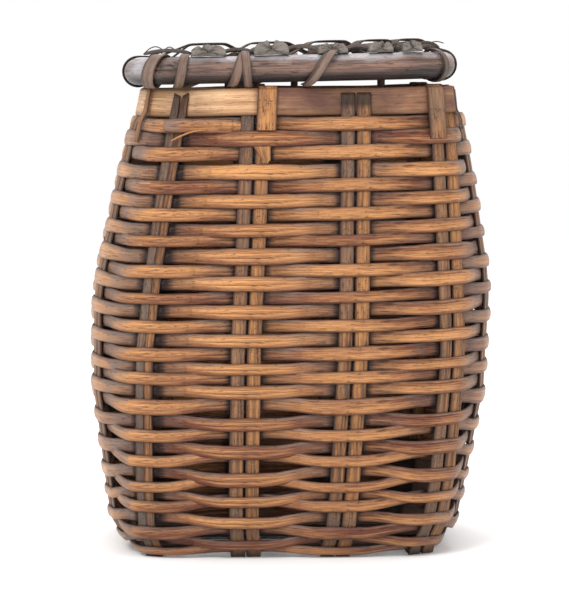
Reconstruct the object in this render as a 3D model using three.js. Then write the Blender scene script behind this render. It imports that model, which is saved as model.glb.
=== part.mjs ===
import * as THREE from 'three';

// A lidded storage basket of wooden splints. Paired uprights run down one face, under the base
// and up the opposite face, rows of flat weaver pass in front of and behind them, and a wide flat
// band closes the rim. The lid is a bent round rod with half-round ribs and thin woven strips,
// tied to the back of the rim by three cane loops. Lengths are in millimetres, +Z is up, the
// front faces -Y and the origin is on the ground under the middle of the basket.

// Plan and profile of the wall, measured at the middle of the uprights' thickness.
const BELLY_HALF_WIDTH = 163;
const BELLY_HALF_DEPTH = 128;
const CORNER_EXPONENT = 6;
const WIDTH_SHARES = [
  [0, 0.755],
  [0.03, 0.812],
  [0.07, 0.872],
  [0.17, 0.914],
  [0.27, 0.955],
  [0.35, 0.99],
  [0.46, 1],
  [0.55, 1],
  [0.62, 0.98],
  [0.7, 0.942],
  [0.78, 0.906],
  [0.85, 0.868],
  [0.93, 0.822],
  [0.945, 0.794],
  [1, 0.766],
];
const PAIR_SPREAD_SHARES = [
  [0, 0.8],
  [0.03, 0.86],
  [0.07, 0.91],
  [0.17, 0.95],
  [0.45, 1],
  [0.85, 0.95],
  [1, 0.93],
];
const SIDE_SPREAD_SHARES = [
  [0, 0.66],
  [0.07, 0.8],
  [0.3, 1],
  [0.7, 0.97],
  [0.93, 0.78],
  [1, 0.74],
];
const CORNER_SHARES = [
  [0, 1],
  [0.12, 0.8],
  [0.45, 0.62],
  [0.8, 0.75],
  [1, 1],
];
const LEAN_AT_BASE = -6;
const LEAN_AT_RIM = 6.5;
const RIM_RISE_TO_RIGHT = 3.6;

// Uprights: two splints side by side make a pair.
const FRONT_PAIR_SHARES = [-0.681, -0.235, 0.293, 0.745];
const SIDE_PAIR_SHARES = [-0.547, 0, 0.547];
const SPLINT_WIDTH = 10;
const SPLINT_THICKNESS = 2;
const SPLINT_SPACING = 3;
const FIT_GAP = 0.3;
const BREAK_ROW_SHARES = [0.03, 0.06, 0.09, 0.15, 0.24, 0.36, 0.48, 0.6, 0.73, 0.82, 0.91, 1];
const CUT_END_BELOW_RIM = 4.5;
const FOLDED_LEG_LENGTH = 20;
const FOOT_RUN = 3.5;

// Rows of weaver. They lie closer together and are narrower near the foot than near the rim.
const ROW_COUNT = 33;
const FIRST_ROW_HEIGHT = 7;
const TOP_ROW_HEIGHT = 351.3;
const ROW_PLACE_SHARES = [
  [0, 0],
  [0.09, 0.08],
  [0.22, 0.1925],
  [0.28, 0.251],
  [0.375, 0.35],
  [0.47, 0.449],
  [0.56, 0.542],
  [0.81, 0.792],
  [0.875, 0.8634],
  [0.94, 0.935],
  [1, 1],
];
const ROW_WIDTH_SHARE = 0.947;
const ROW_THICKNESS = 2.4;
const ROW_EDGE_ROOM = 1.8;

// The low rows sag where they lie in front of a pair and rise where they pass behind one, which
// leaves lens-shaped windows between them.
const ROW_SAG = 3;
const ROW_SAG_SHARES = [
  [0, 0],
  [0.03, 0.6],
  [0.065, 0.35],
  [0.1, 0.65],
  [0.16, 0.9],
  [0.22, 1],
  [0.28, 0.6],
  [0.375, 0.4],
  [0.44, 0],
  [1, 0],
];

// Rim band.
const RIM_BAND_WIDTH = 22.5;
const RIM_BAND_THICKNESS = 2.6;
const RIM_BAND_GAP = 3.2;

// Lid.
const LID_ROD_RADIUS = 11;
const LID_ROD_SIDES = 10;
const LID_CORNER_RADIUS = 28;
const LID_CORNER_STEPS = 4;
const LID_SIDE_INSET = 1;
const LID_SHIFT = -1.5;
const LID_REST_GAP = 4.4;
const LID_RISE_TO_RIGHT = 5.5;
const RIB_PLACE_SHARES = [-0.534, -0.125, 0.272, 0.584, 0.791];
const RIB_WIDTHS = [28, 28, 24, 20, 16];
const RIB_THICKNESS = 9;
const RIB_OVERHANG = 6;
const RIB_ARCH_STEPS = 8;
const STRIP_WIDTH = 9;
const STRIP_THICKNESS = 1.4;
const STRIP_PITCH = 13.4;
const STRIP_PASSES = [6, 5];
const STRIP_EDGE_ROOM = 1;
const WRAP_STEP = Math.PI / 6;
const STRIP_CLEARANCE = 0.5;

// Lashing round the front rod and the loops that hinge the lid.
const LASHING_WIDTH = 8;
const LASHING_CLEARANCE = 0.5;
const LASHING_START_ROOM = 8;
const LASHING_SLANT = 9;
const LASHING_TURN_STEPS = 12;
const LASHING_HOLD_SHARE = 0.3;
const LOOP_WIDTH = 5.5;
const LOOP_THICKNESS = 1.4;
const LOOP_CLEARANCE = 0.4;
const LOOP_SINK_SHARE = 0.6;
const LOOP_RIB_ROOM = 1.3;

const COLOURS = {
  weaver: 0xa5673a,
  upright: 0x8a5a34,
  rim: 0xb07a45,
  rod: 0x4d3f38,
  rib: 0x6e635a,
  strip: 0x857059,
};

const bandBottom = TOP_ROW_HEIGHT + rowWidth(ROW_COUNT - 1) / 2 + RIM_BAND_GAP;
const bandTop = bandBottom + RIM_BAND_WIDTH;
const pairHalfWidth = SPLINT_SPACING / 2 + SPLINT_WIDTH;
const memberOffset = (SPLINT_SPACING + SPLINT_WIDTH) / 2;
const rowOffset = SPLINT_THICKNESS / 2 + FIT_GAP + ROW_THICKNESS / 2;
const bandOffset = SPLINT_THICKNESS / 2 + FIT_GAP + RIM_BAND_THICKNESS / 2;
const foldOffset = 2 * bandOffset;
const foldHeight = bandTop + FIT_GAP + SPLINT_THICKNESS / 2;
const baseUnder = SPLINT_THICKNESS / 2;
const baseOver = baseUnder + SPLINT_THICKNESS + FIT_GAP;
const UP = new THREE.Vector3(0, 0, 1);

// Value of a table of [place, value] rows at a place between its rows.
function valueAt(table, place) {
  const last = table.length - 1;
  let row = 0;
  while (row < last - 1 && place > table[row + 1][0]) row += 1;
  const [from, low] = table[row];
  const [to, high] = table[row + 1];
  const share = THREE.MathUtils.clamp((place - from) / (to - from), 0, 1);
  return THREE.MathUtils.lerp(low, high, share);
}

function rowHeight(row) {
  const share = valueAt(ROW_PLACE_SHARES, row / (ROW_COUNT - 1));
  return THREE.MathUtils.lerp(FIRST_ROW_HEIGHT, TOP_ROW_HEIGHT, share);
}

// A row fills the same share of the room between its neighbours all the way up.
function rowWidth(row) {
  const below = Math.max(row - 1, 0);
  const above = Math.min(row + 1, ROW_COUNT - 1);
  return (ROW_WIDTH_SHARE * (rowHeight(above) - rowHeight(below))) / (above - below);
}

function wallAt(height) {
  const share = height / bandTop;
  const width = valueAt(WIDTH_SHARES, share);
  return {
    halfWidth: BELLY_HALF_WIDTH * width,
    halfDepth: BELLY_HALF_DEPTH * width,
    exponent: CORNER_EXPONENT * valueAt(CORNER_SHARES, share),
    frontSpread: valueAt(PAIR_SPREAD_SHARES, share),
    sideSpread: valueAt(SIDE_SPREAD_SHARES, share),
  };
}

// Distance from the middle of the plan to the wall, square to a face, at a place along that face.
function reachAt(place, halfAlong, halfAcross, exponent) {
  return halfAcross * (1 - Math.abs(place / halfAlong) ** exponent) ** (1 / exponent);
}

// The pairs in order round the basket, counter-clockwise from above.
function listPairs() {
  const front = FRONT_PAIR_SHARES.map((share) => share * BELLY_HALF_WIDTH);
  const side = SIDE_PAIR_SHARES.map((share) => share * BELLY_HALF_DEPTH);
  const pairs = [
    ...front.map((place, order) => ({ face: 'front', place, order })),
    ...side.map((place, order) => ({ face: 'right', place, order })),
    ...front.map((place, order) => ({ face: 'back', place, order })).reverse(),
    ...side.map((place, order) => ({ face: 'left', place, order })).reverse(),
  ];
  pairs.forEach((pair, index) => {
    pair.index = index;
  });
  return pairs;
}

const pairs = listPairs();

function findPair(face, order) {
  return pairs.find((pair) => pair.face === face && pair.order === order);
}

// Middle of a pair on the wall at a height.
function pairMiddle(pair, height) {
  const wall = wallAt(height);
  const onFace = pair.face === 'front' || pair.face === 'back';
  const place = pair.place * (onFace ? wall.frontSpread : wall.sideSpread);
  const reach = onFace
    ? reachAt(place, wall.halfWidth, wall.halfDepth, wall.exponent)
    : reachAt(place, wall.halfDepth, wall.halfWidth, wall.exponent);
  const sign = pair.face === 'front' || pair.face === 'left' ? -1 : 1;
  const x = onFace ? place : sign * reach;
  const y = onFace ? sign * reach : place;
  return new THREE.Vector3(x, y, height);
}

// The level direction along the wall at a pair. It is taken at the belly and kept all the way up,
// so that the splints don't twist.
function pairDirection(pair) {
  const height = bandTop / 2;
  const wall = wallAt(height);
  const { x, y } = pairMiddle(pair, height);
  const slopeX = Math.sign(x) * Math.abs(x / wall.halfWidth) ** (wall.exponent - 1) / wall.halfWidth;
  const slopeY = Math.sign(y) * Math.abs(y / wall.halfDepth) ** (wall.exponent - 1) / wall.halfDepth;
  return new THREE.Vector3(-slopeY, slopeX, 0).normalize();
}

// Heights where the uprights bend a little: between rows, and below and above the rim band.
const bendHeights = [
  baseUnder,
  ...BREAK_ROW_SHARES.map((share) => {
    const row = Math.round(share * ROW_COUNT) - 1;
    return rowHeight(row) + rowWidth(row) / (2 * ROW_WIDTH_SHARE);
  }),
  bandBottom - FIT_GAP,
  foldHeight,
];

// Middle, level direction, rise and outward direction of a pair between two bends.
function pairAt(pair, height) {
  let bend = 0;
  while (bend < bendHeights.length - 2 && height > bendHeights[bend + 1]) bend += 1;
  const low = pairMiddle(pair, bendHeights[bend]);
  const high = pairMiddle(pair, bendHeights[bend + 1]);
  const share = (height - bendHeights[bend]) / (bendHeights[bend + 1] - bendHeights[bend]);
  const middle = low.clone().lerp(high, share);
  const along = pairDirection(pair);
  const rise = high.clone().sub(low).normalize();
  const outward = along.clone().cross(rise).normalize();
  return { middle, along, rise, outward };
}

function strip(width, thickness) {
  return [
    [width / 2, thickness / 2],
    [width / 2, -thickness / 2],
    [-width / 2, -thickness / 2],
    [-width / 2, thickness / 2],
  ];
}

function round(radius, sides) {
  return Array.from({ length: sides }, (_, side) => {
    const angle = (2 * Math.PI * side) / sides;
    return [radius * Math.cos(angle), -radius * Math.sin(angle)];
  });
}

function squareTo(side, vector) {
  return vector.addScaledVector(side, -vector.dot(side)).normalize();
}

// A section carried along stations of { point, across }, where across is the direction that the
// section's width follows. Bends are mitred. A closed sweep joins its last station to its first.
function sweep(stations, section, closed) {
  const count = stations.length;
  const sides = section.length;
  const positions = [];
  stations.forEach((station, index) => {
    const before = closed ? stations[(index + count - 1) % count] : stations[Math.max(index - 1, 0)];
    const after = closed ? stations[(index + 1) % count] : stations[Math.min(index + 1, count - 1)];
    const side = station.across.clone().normalize();
    const arriving = squareTo(side, station.point.clone().sub(before.point));
    const leaving = squareTo(side, after.point.clone().sub(station.point));
    const heading = arriving.clone().add(leaving).normalize();
    const mitre = Math.max(heading.dot(arriving), heading.dot(leaving));
    const face = side.clone().cross(heading).normalize();
    section.forEach(([across, through]) => {
      const corner = station.point.clone();
      corner.addScaledVector(side, across);
      corner.addScaledVector(face, through / mitre);
      positions.push(corner.x, corner.y, corner.z);
    });
  });
  const triangles = [];
  const spans = closed ? count : count - 1;
  for (let span = 0; span < spans; span += 1) {
    const here = span * sides;
    const next = ((span + 1) % count) * sides;
    for (let corner = 0; corner < sides; corner += 1) {
      const other = (corner + 1) % sides;
      triangles.push(here + corner, here + other, next + other);
      triangles.push(here + corner, next + other, next + corner);
    }
  }
  if (!closed) {
    const end = (count - 1) * sides;
    for (let corner = 1; corner < sides - 1; corner += 1) {
      triangles.push(0, corner + 1, corner);
      triangles.push(end, end + corner, end + corner + 1);
    }
  }
  const geometry = new THREE.BufferGeometry();
  geometry.setAttribute('position', new THREE.Float32BufferAttribute(positions, 3));
  geometry.setIndex(triangles);
  return geometry;
}

// The old basket leans to its right, and its rows and rim rise a little to that side.
function leanAt(height) {
  return THREE.MathUtils.lerp(LEAN_AT_BASE, LEAN_AT_RIM, height / bandTop);
}

function riseAt(place, height) {
  return (RIM_RISE_TO_RIGHT * place * height) / (2 * BELLY_HALF_WIDTH * bandTop);
}

function lean(geometry) {
  const position = geometry.getAttribute('position');
  for (let corner = 0; corner < position.count; corner += 1) {
    const x = position.getX(corner);
    const z = position.getZ(corner);
    position.setX(corner, x + leanAt(z));
    position.setZ(corner, z + riseAt(x, z));
  }
  return geometry;
}

function makePiece(name, geometry, colour, roughness) {
  geometry.computeVertexNormals();
  const material = new THREE.MeshStandardMaterial({ color: colour, roughness, metalness: 0 });
  const mesh = new THREE.Mesh(geometry, material);
  mesh.name = name;
  return mesh;
}

// Corner of the plan, half way between the facing edges of two pairs and never inside the wall.
function cornerStation(from, to, height) {
  const wall = wallAt(height);
  const leaving = from.middle.clone().addScaledVector(from.along, pairHalfWidth);
  const arriving = to.middle.clone().addScaledVector(to.along, -pairHalfWidth);
  const point = leaving.lerp(arriving, 1 / 2);
  const size = Math.abs(point.x / wall.halfWidth) ** wall.exponent
    + Math.abs(point.y / wall.halfDepth) ** wall.exponent;
  const scale = Math.max(1, size ** (-1 / wall.exponent));
  point.setX(point.x * scale);
  point.setY(point.y * scale);
  point.setZ(height);
  return { point, across: from.rise.clone().add(to.rise).normalize(), side: 0 };
}

// A closed ring that passes outside every second pair and inside the others.
function wovenRing(height, firstSign, offset) {
  const stations = [];
  pairs.forEach((pair, index) => {
    const here = pairAt(pair, height);
    const sign = index % 2 === 0 ? firstSign : -firstSign;
    [-1, 1].forEach((edge) => {
      const point = here.middle.clone();
      point.addScaledVector(here.along, edge * (pairHalfWidth + ROW_EDGE_ROOM));
      point.addScaledVector(here.outward, sign * offset);
      stations.push({ point, across: here.rise, side: sign });
    });
    const nextPair = pairs[(index + 1) % pairs.length];
    if (nextPair.face !== pair.face) {
      stations.push(cornerStation(here, pairAt(nextPair, height), height));
    }
  });
  return stations;
}

// The ring drawn down by the sag outside the pairs and up by it inside them. The middle half of
// each crossing stays level, so that neighbouring rows pass each other clear.
function sagRing(ring, sag) {
  return ring.flatMap((station, index) => {
    const next = ring[(index + 1) % ring.length];
    const { across, side } = station;
    const crossed = Math.abs(next.side - side);
    const levelShares = [[], [1 / 2], [1 / 4, 3 / 4]][crossed];
    const level = levelShares.map((share) => ({
      point: station.point.clone().lerp(next.point, share),
      across: across.clone().lerp(next.across, share).normalize(),
    }));
    return [{ point: station.point.clone().addScaledVector(across, -side * sag), across }, ...level];
  });
}

function makeRows() {
  const rows = [];
  for (let row = 0; row < ROW_COUNT; row += 1) {
    const height = rowHeight(row);
    const rowsAbove = ROW_COUNT - 1 - row;
    const firstSign = rowsAbove % 2 === 0 ? 1 : -1;
    const ring = wovenRing(height, firstSign, rowOffset);
    const sag = ROW_SAG * valueAt(ROW_SAG_SHARES, row / (ROW_COUNT - 1));
    const stations = sag > 0 ? sagRing(ring, sag) : ring;
    const geometry = lean(sweep(stations, strip(rowWidth(row), ROW_THICKNESS), true));
    const number = String(row + 1).padStart(2, '0');
    rows.push(makePiece(`weaver_row_${number}`, geometry, COLOURS.weaver, 0.6));
  }
  return rows;
}

function makeRimBand() {
  const height = (bandBottom + bandTop) / 2;
  const stations = wovenRing(height, -1, bandOffset);
  const geometry = lean(sweep(stations, strip(RIM_BAND_WIDTH, RIM_BAND_THICKNESS), true));
  return makePiece('rim_band', geometry, COLOURS.rim, 0.55);
}

// Point on a pair's wall plate: a member is beside the pair's middle, an offset stands it outward.
function memberStation(pair, height, member, offset) {
  const here = pairAt(pair, height);
  const point = here.middle.clone();
  point.addScaledVector(here.along, member * memberOffset);
  point.addScaledVector(here.outward, offset);
  return { point, across: here.along };
}

// One leg of an upright from the foot to its top end. Where the rim band passes outside the pair,
// the folded member turns over the band's top edge and down its outside.
function uprightLeg(pair, member, folded) {
  const bandOutside = pair.index % 2 === 1;
  const topHeight = bandOutside ? bandTop : bandTop - CUT_END_BELOW_RIM;
  const bends = bendHeights.slice(0, -1);
  const leg = bends.map((height) => memberStation(pair, height, member, 0));
  const foot = leg[0];
  const inward = UP.clone().cross(foot.across).normalize();
  const toe = foot.point.clone().addScaledVector(inward, FOOT_RUN);
  leg.unshift({ point: toe, across: foot.across.clone() });
  if (!folded) {
    leg.push(memberStation(pair, topHeight, member, 0));
    return leg;
  }
  leg.push(memberStation(pair, foldHeight, member, 0));
  leg.push(memberStation(pair, foldHeight, member, foldOffset));
  leg.push(memberStation(pair, foldHeight - FOLDED_LEG_LENGTH, member, foldOffset));
  return leg;
}

// The run under the base, over and under the splints that cross it there.
function baseRun(start, end, crossings, axis, order) {
  const across = axis === 'x' ? new THREE.Vector3(0, 1, 0) : new THREE.Vector3(1, 0, 0);
  const room = pairHalfWidth + FIT_GAP + SPLINT_THICKNESS / 2;
  const run = [];
  const direction = Math.sign(end[axis] - start[axis]);
  const ordered = direction > 0 ? crossings : [...crossings].reverse();
  ordered.forEach((crossing) => {
    const over = (crossing.order + order) % 2 === (axis === 'x' ? 0 : 1);
    [-1, 1].forEach((edge) => {
      const along = crossing.place + edge * direction * room;
      const share = (along - start[axis]) / (end[axis] - start[axis]);
      const point = start.clone().lerp(end, share).setZ(over ? baseOver : baseUnder);
      run.push({ point, across });
    });
  });
  return run;
}

// A whole upright: down one face, under the base and up the opposite face.
function uprightStations(startPair, endPair, member, folded, crossings, axis) {
  const first = uprightLeg(startPair, member, folded).reverse();
  const second = uprightLeg(endPair, -member, folded);
  second.forEach((station) => station.across.negate());
  const start = first[first.length - 1].point;
  const end = second[0].point;
  return [...first, ...baseRun(start, end, crossings, axis, startPair.order), ...second];
}

function makeUprights() {
  const section = strip(SPLINT_WIDTH, SPLINT_THICKNESS);
  const { frontSpread, sideSpread } = wallAt(baseUnder);
  const frontCrossings = SIDE_PAIR_SHARES.map((share, order) => {
    return { place: share * BELLY_HALF_DEPTH * sideSpread, order };
  });
  const sideCrossings = FRONT_PAIR_SHARES.map((share, order) => {
    return { place: share * BELLY_HALF_WIDTH * frontSpread, order };
  });
  const uprights = [];
  FRONT_PAIR_SHARES.forEach((_, order) => {
    const front = findPair('front', order);
    const back = findPair('back', order);
    const foldedMember = order === 1 ? 1 : -1;
    [-1, 1].forEach((member) => {
      const folded = front.index % 2 === 1 && member === foldedMember;
      const stations = uprightStations(front, back, member, folded, frontCrossings, 'y');
      const side = member < 0 ? 'left' : 'right';
      const name = `upright_front_${order + 1}_${side}`;
      uprights.push(makePiece(name, lean(sweep(stations, section, false)), COLOURS.upright, 0.65));
    });
  });
  SIDE_PAIR_SHARES.forEach((_, order) => {
    const right = findPair('right', order);
    const left = findPair('left', order);
    [-1, 1].forEach((member) => {
      const stations = uprightStations(right, left, member, false, sideCrossings, 'x');
      const side = member < 0 ? 'front' : 'rear';
      const name = `upright_side_${order + 1}_${side}`;
      uprights.push(makePiece(name, lean(sweep(stations, section, false)), COLOURS.upright, 0.65));
    });
  });
  return uprights;
}

const lidHalfWidth = wallAt(bandTop).halfWidth - LID_SIDE_INSET;
const lidHalfDepth = wallAt(bandTop).halfDepth;
const lidHeight = bandTop + LID_ROD_RADIUS + LID_REST_GAP;
const lidTilt = Math.atan(LID_RISE_TO_RIGHT / (2 * lidHalfWidth));
const ribBottom = LID_ROD_RADIUS + FIT_GAP;
const ribPlaces = RIB_PLACE_SHARES.map((share) => share * lidHalfWidth);

// Left or right edge of a rib, and the middle of the gap that follows a rib.
function ribEdge(rib, side) {
  return ribPlaces[rib] + (side * RIB_WIDTHS[rib]) / 2;
}

function ribGap(rib) {
  return (ribEdge(rib, 1) + ribEdge(rib + 1, -1)) / 2;
}

// Centreline of the rod: a rectangle with round corners, seen from above.
function hoopStations() {
  const stations = [];
  const insetWidth = lidHalfWidth - LID_CORNER_RADIUS;
  const insetDepth = lidHalfDepth - LID_CORNER_RADIUS;
  [[1, -1], [1, 1], [-1, 1], [-1, -1]].forEach(([sideX, sideY], quarter) => {
    for (let step = 0; step <= LID_CORNER_STEPS; step += 1) {
      const angle = (Math.PI / 2) * (quarter - 1 + step / LID_CORNER_STEPS);
      const x = sideX * insetWidth + LID_CORNER_RADIUS * Math.cos(angle);
      const y = sideY * insetDepth + LID_CORNER_RADIUS * Math.sin(angle);
      stations.push({ point: new THREE.Vector3(x, y, 0), across: UP });
    }
  });
  return stations;
}

function makeHoop() {
  const section = round(LID_ROD_RADIUS, LID_ROD_SIDES);
  return makePiece('lid_hoop', sweep(hoopStations(), section, true), COLOURS.rod, 0.55);
}

// A half-round rib lies across the front and rear rods with its flat side down.
function makeRib(place, width, number) {
  const arch = new THREE.Shape();
  arch.moveTo(-width / 2, 0);
  for (let step = 1; step < RIB_ARCH_STEPS; step += 1) {
    const angle = Math.PI * (1 - step / RIB_ARCH_STEPS);
    arch.lineTo((width / 2) * Math.cos(angle), RIB_THICKNESS * Math.sin(angle) ** (1 / 2));
  }
  arch.lineTo(width / 2, 0);
  const length = 2 * (lidHalfDepth + RIB_OVERHANG);
  const geometry = new THREE.ExtrudeGeometry(arch, { depth: length, bevelEnabled: false, steps: 1 });
  geometry.rotateX(Math.PI / 2);
  geometry.translate(place, length / 2, ribBottom);
  return makePiece(`lid_rib_${number}`, geometry, COLOURS.rib, 0.8);
}

const wrapRadius = (LID_ROD_RADIUS + STRIP_CLEARANCE + STRIP_THICKNESS / 2) / Math.cos(WRAP_STEP / 2);
const stripOver = ribBottom + RIB_THICKNESS + FIT_GAP + STRIP_THICKNESS / 2;
const stripUnder = ribBottom - FIT_GAP - STRIP_THICKNESS / 2;

// One pass of a lid strip over and under the ribs, from one side rod to the other.
function stripPass(direction, y, firstOver) {
  const order = ribPlaces.map((_, rib) => rib);
  if (direction < 0) order.reverse();
  const wrapLine = lidHalfWidth - wrapRadius;
  const points = [];
  order.forEach((rib) => {
    const level = (rib % 2 === 0) === firstOver ? stripOver : stripUnder;
    [-1, 1].forEach((edge) => {
      const reach = RIB_WIDTHS[rib] / 2 + STRIP_EDGE_ROOM;
      const x = ribPlaces[rib] + edge * direction * reach;
      const besideRod = Math.abs(x) > wrapLine - STRIP_THICKNESS && edge < 0;
      const sideways = besideRod ? Math.sign(x) * wrapLine : x;
      points.push(new THREE.Vector3(sideways, y, level));
    });
  });
  return points;
}

// Over the top of a side rod, down its outside, under it and up on its inside, while the strip
// moves back by one pitch.
function stripWrap(direction, fromY, toY, arrivesOver) {
  const points = [];
  const firstStep = arrivesOver ? 0 : -1;
  const turnSteps = Math.round((3 * Math.PI) / 2 / WRAP_STEP);
  for (let step = firstStep; step <= turnSteps; step += 1) {
    const angle = Math.PI / 2 - step * WRAP_STEP;
    const share = THREE.MathUtils.smoothstep(step, 1, turnSteps - 1);
    const x = direction * (lidHalfWidth + wrapRadius * Math.cos(angle));
    const y = THREE.MathUtils.lerp(fromY, toY, share);
    points.push(new THREE.Vector3(x, y, wrapRadius * Math.sin(angle)));
  }
  return points;
}

function stripStations(firstPass, passCount) {
  const points = [];
  const totalPasses = STRIP_PASSES[0] + STRIP_PASSES[1];
  const frontPass = (-STRIP_PITCH * (totalPasses - 1)) / 2;
  const across = new THREE.Vector3(0, 1, 0);
  for (let pass = firstPass; pass < firstPass + passCount; pass += 1) {
    const direction = (pass - firstPass) % 2 === 0 ? 1 : -1;
    const firstOver = pass % 2 === 0;
    const y = frontPass + pass * STRIP_PITCH;
    if (pass === firstPass) {
      points.push(new THREE.Vector3(wrapRadius - lidHalfWidth, y, 0));
      points.push(new THREE.Vector3(wrapRadius - lidHalfWidth, y, stripUnder));
    }
    points.push(...stripPass(direction, y, firstOver));
    const lastRib = direction > 0 ? ribPlaces.length - 1 : 0;
    const arrivesOver = (lastRib % 2 === 0) === firstOver;
    const lastPass = pass === firstPass + passCount - 1;
    points.push(...stripWrap(direction, y, lastPass ? y : y + STRIP_PITCH, arrivesOver));
  }
  return points.map((point) => ({ point, across }));
}

function makeLidStrips() {
  const section = strip(STRIP_WIDTH, STRIP_THICKNESS);
  let firstPass = 0;
  return STRIP_PASSES.map((passCount, order) => {
    const stations = stripStations(firstPass, passCount);
    firstPass += passCount;
    return makePiece(`lid_weaver_${order + 1}`, sweep(stations, section, false), COLOURS.strip, 0.6);
  });
}

// The lashing winds round the front rod: over it beside each of the first ribs, down its front
// slanting to the left, and under it to the next gap between ribs.
function makeLashing() {
  const across = new THREE.Vector3(1, 0, 0);
  const overPlaces = [ribEdge(0, -1) - LASHING_START_ROOM, ribGap(0), ribGap(1)];
  const halfTurn = LASHING_TURN_STEPS / 2;
  const stations = [];
  const turnRadius = wrapRadius + LASHING_CLEARANCE;
  const addStation = (x, angle) => {
    const y = -lidHalfDepth - turnRadius * Math.cos(angle);
    stations.push({ point: new THREE.Vector3(x, y, turnRadius * Math.sin(angle)), across });
  };
  overPlaces.forEach((place, turn) => {
    const underPlace = place - LASHING_SLANT;
    for (let step = 0; step < halfTurn; step += 1) {
      const share = THREE.MathUtils.smoothstep(step / halfTurn, LASHING_HOLD_SHARE, 1);
      const angle = Math.PI / 2 - (Math.PI * step) / halfTurn;
      addStation(THREE.MathUtils.lerp(place, underPlace, share), angle);
    }
    const nextPlace = turn + 1 < overPlaces.length ? overPlaces[turn + 1] : underPlace;
    const steps = turn + 1 < overPlaces.length ? halfTurn : halfTurn / 2;
    for (let step = 0; step < steps; step += 1) {
      const share = THREE.MathUtils.smoothstep(step / halfTurn, 0, 1 - LASHING_HOLD_SHARE);
      const angle = -Math.PI / 2 - (Math.PI * step) / halfTurn;
      addStation(THREE.MathUtils.lerp(underPlace, nextPlace, share), angle);
    }
  });
  const section = strip(LASHING_WIDTH, STRIP_THICKNESS);
  return makePiece('lid_front_lashing', sweep(stations, section, false), COLOURS.strip, 0.6);
}

function makeLid() {
  const lid = new THREE.Group();
  lid.add(makeHoop());
  ribPlaces.forEach((place, rib) => lid.add(makeRib(place, RIB_WIDTHS[rib], rib + 1)));
  lid.add(...makeLidStrips());
  lid.add(makeLashing());
  lid.position.set(LID_SHIFT, 0, lidHeight);
  lid.rotation.y = -lidTilt;
  return lid;
}

// A loop of cane round the rear rod and the rim band. It passes between the band and the top row
// and leaves the rod free to turn.
function makeLoop(place, number) {
  const x = LID_SHIFT + place;
  const rodHeight = lidHeight + place * Math.tan(lidTilt);
  const rodSweep = (LID_ROD_RADIUS + LOOP_CLEARANCE + LOOP_THICKNESS / 2) / Math.cos(WRAP_STEP / 2);
  const gapHeight = bandBottom - RIM_BAND_GAP * LOOP_SINK_SHARE;
  const placeOnWall = x - leanAt(gapHeight);
  const low = gapHeight + riseAt(placeOnWall, gapHeight);
  const halfFoot = bandOffset + RIM_BAND_THICKNESS / 2 + LOOP_CLEARANCE + LOOP_THICKNESS / 2;
  const across = new THREE.Vector3(1, 0, 0);
  const wall = wallAt(bandBottom);
  const bandDepth = reachAt(placeOnWall, wall.halfWidth, wall.halfDepth, wall.exponent);
  const stations = [
    { point: new THREE.Vector3(x, bandDepth - halfFoot, low), across },
    { point: new THREE.Vector3(x, bandDepth + halfFoot, low), across },
  ];
  const turnSteps = Math.round(Math.PI / WRAP_STEP);
  for (let step = 0; step <= turnSteps; step += 1) {
    const angle = step * WRAP_STEP;
    const y = lidHalfDepth + rodSweep * Math.cos(angle);
    const z = rodHeight + rodSweep * Math.sin(angle);
    stations.push({ point: new THREE.Vector3(x, y, z), across });
  }
  const geometry = sweep(stations, strip(LOOP_WIDTH, LOOP_THICKNESS), true);
  return makePiece(`hinge_loop_${number}`, geometry, COLOURS.strip, 0.6);
}

function makeBasket() {
  const basket = new THREE.Group();
  basket.add(...makeRows());
  basket.add(...makeUprights());
  basket.add(makeRimBand());
  basket.add(makeLid());
  const besideFirstRib = ribEdge(0, 1) + LOOP_RIB_ROOM + LOOP_WIDTH / 2;
  [besideFirstRib, ribGap(1), ribGap(3)].forEach((place, order) => {
    basket.add(makeLoop(place, order + 1));
  });
  return basket;
}

export default makeBasket();
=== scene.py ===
import math

import bmesh
import bpy
import numpy as np
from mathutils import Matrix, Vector


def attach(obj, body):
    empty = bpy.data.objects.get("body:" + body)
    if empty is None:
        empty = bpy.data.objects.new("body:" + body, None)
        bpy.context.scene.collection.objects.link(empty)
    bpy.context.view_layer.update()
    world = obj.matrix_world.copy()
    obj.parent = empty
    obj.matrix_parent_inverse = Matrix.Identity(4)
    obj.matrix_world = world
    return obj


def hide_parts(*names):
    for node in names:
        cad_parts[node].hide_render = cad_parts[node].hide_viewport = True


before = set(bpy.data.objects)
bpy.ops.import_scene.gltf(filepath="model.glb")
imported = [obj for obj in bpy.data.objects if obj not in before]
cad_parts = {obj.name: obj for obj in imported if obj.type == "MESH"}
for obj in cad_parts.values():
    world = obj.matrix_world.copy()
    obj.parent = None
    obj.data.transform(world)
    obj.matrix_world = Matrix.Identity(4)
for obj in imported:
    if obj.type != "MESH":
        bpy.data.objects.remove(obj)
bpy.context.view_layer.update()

# The view. The photograph was taken from a little to the left of the basket's front, at about the
# height of its lid, with a long lens, against a plain white ground.
VIEW_YAW = math.radians(-2)
EYE_DISTANCE = 2.35
EYE_HEIGHT = 0.405
AIM_HEIGHT = 0.2025
AIM_SIDE = -0.0034
LENS = 167.4
SENSOR_WIDTH = 36
FARTHEST_SEEN = 20


def add_object(name, data):
    thing = bpy.data.objects.new(name, data)
    bpy.context.collection.objects.link(thing)
    return thing


def point_at(thing, target):
    """Turns a camera or a lamp so that it looks at a point."""
    thing.rotation_mode = "QUATERNION"
    thing.rotation_quaternion = (target - thing.location).to_track_quat("-Z", "Y")


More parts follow.
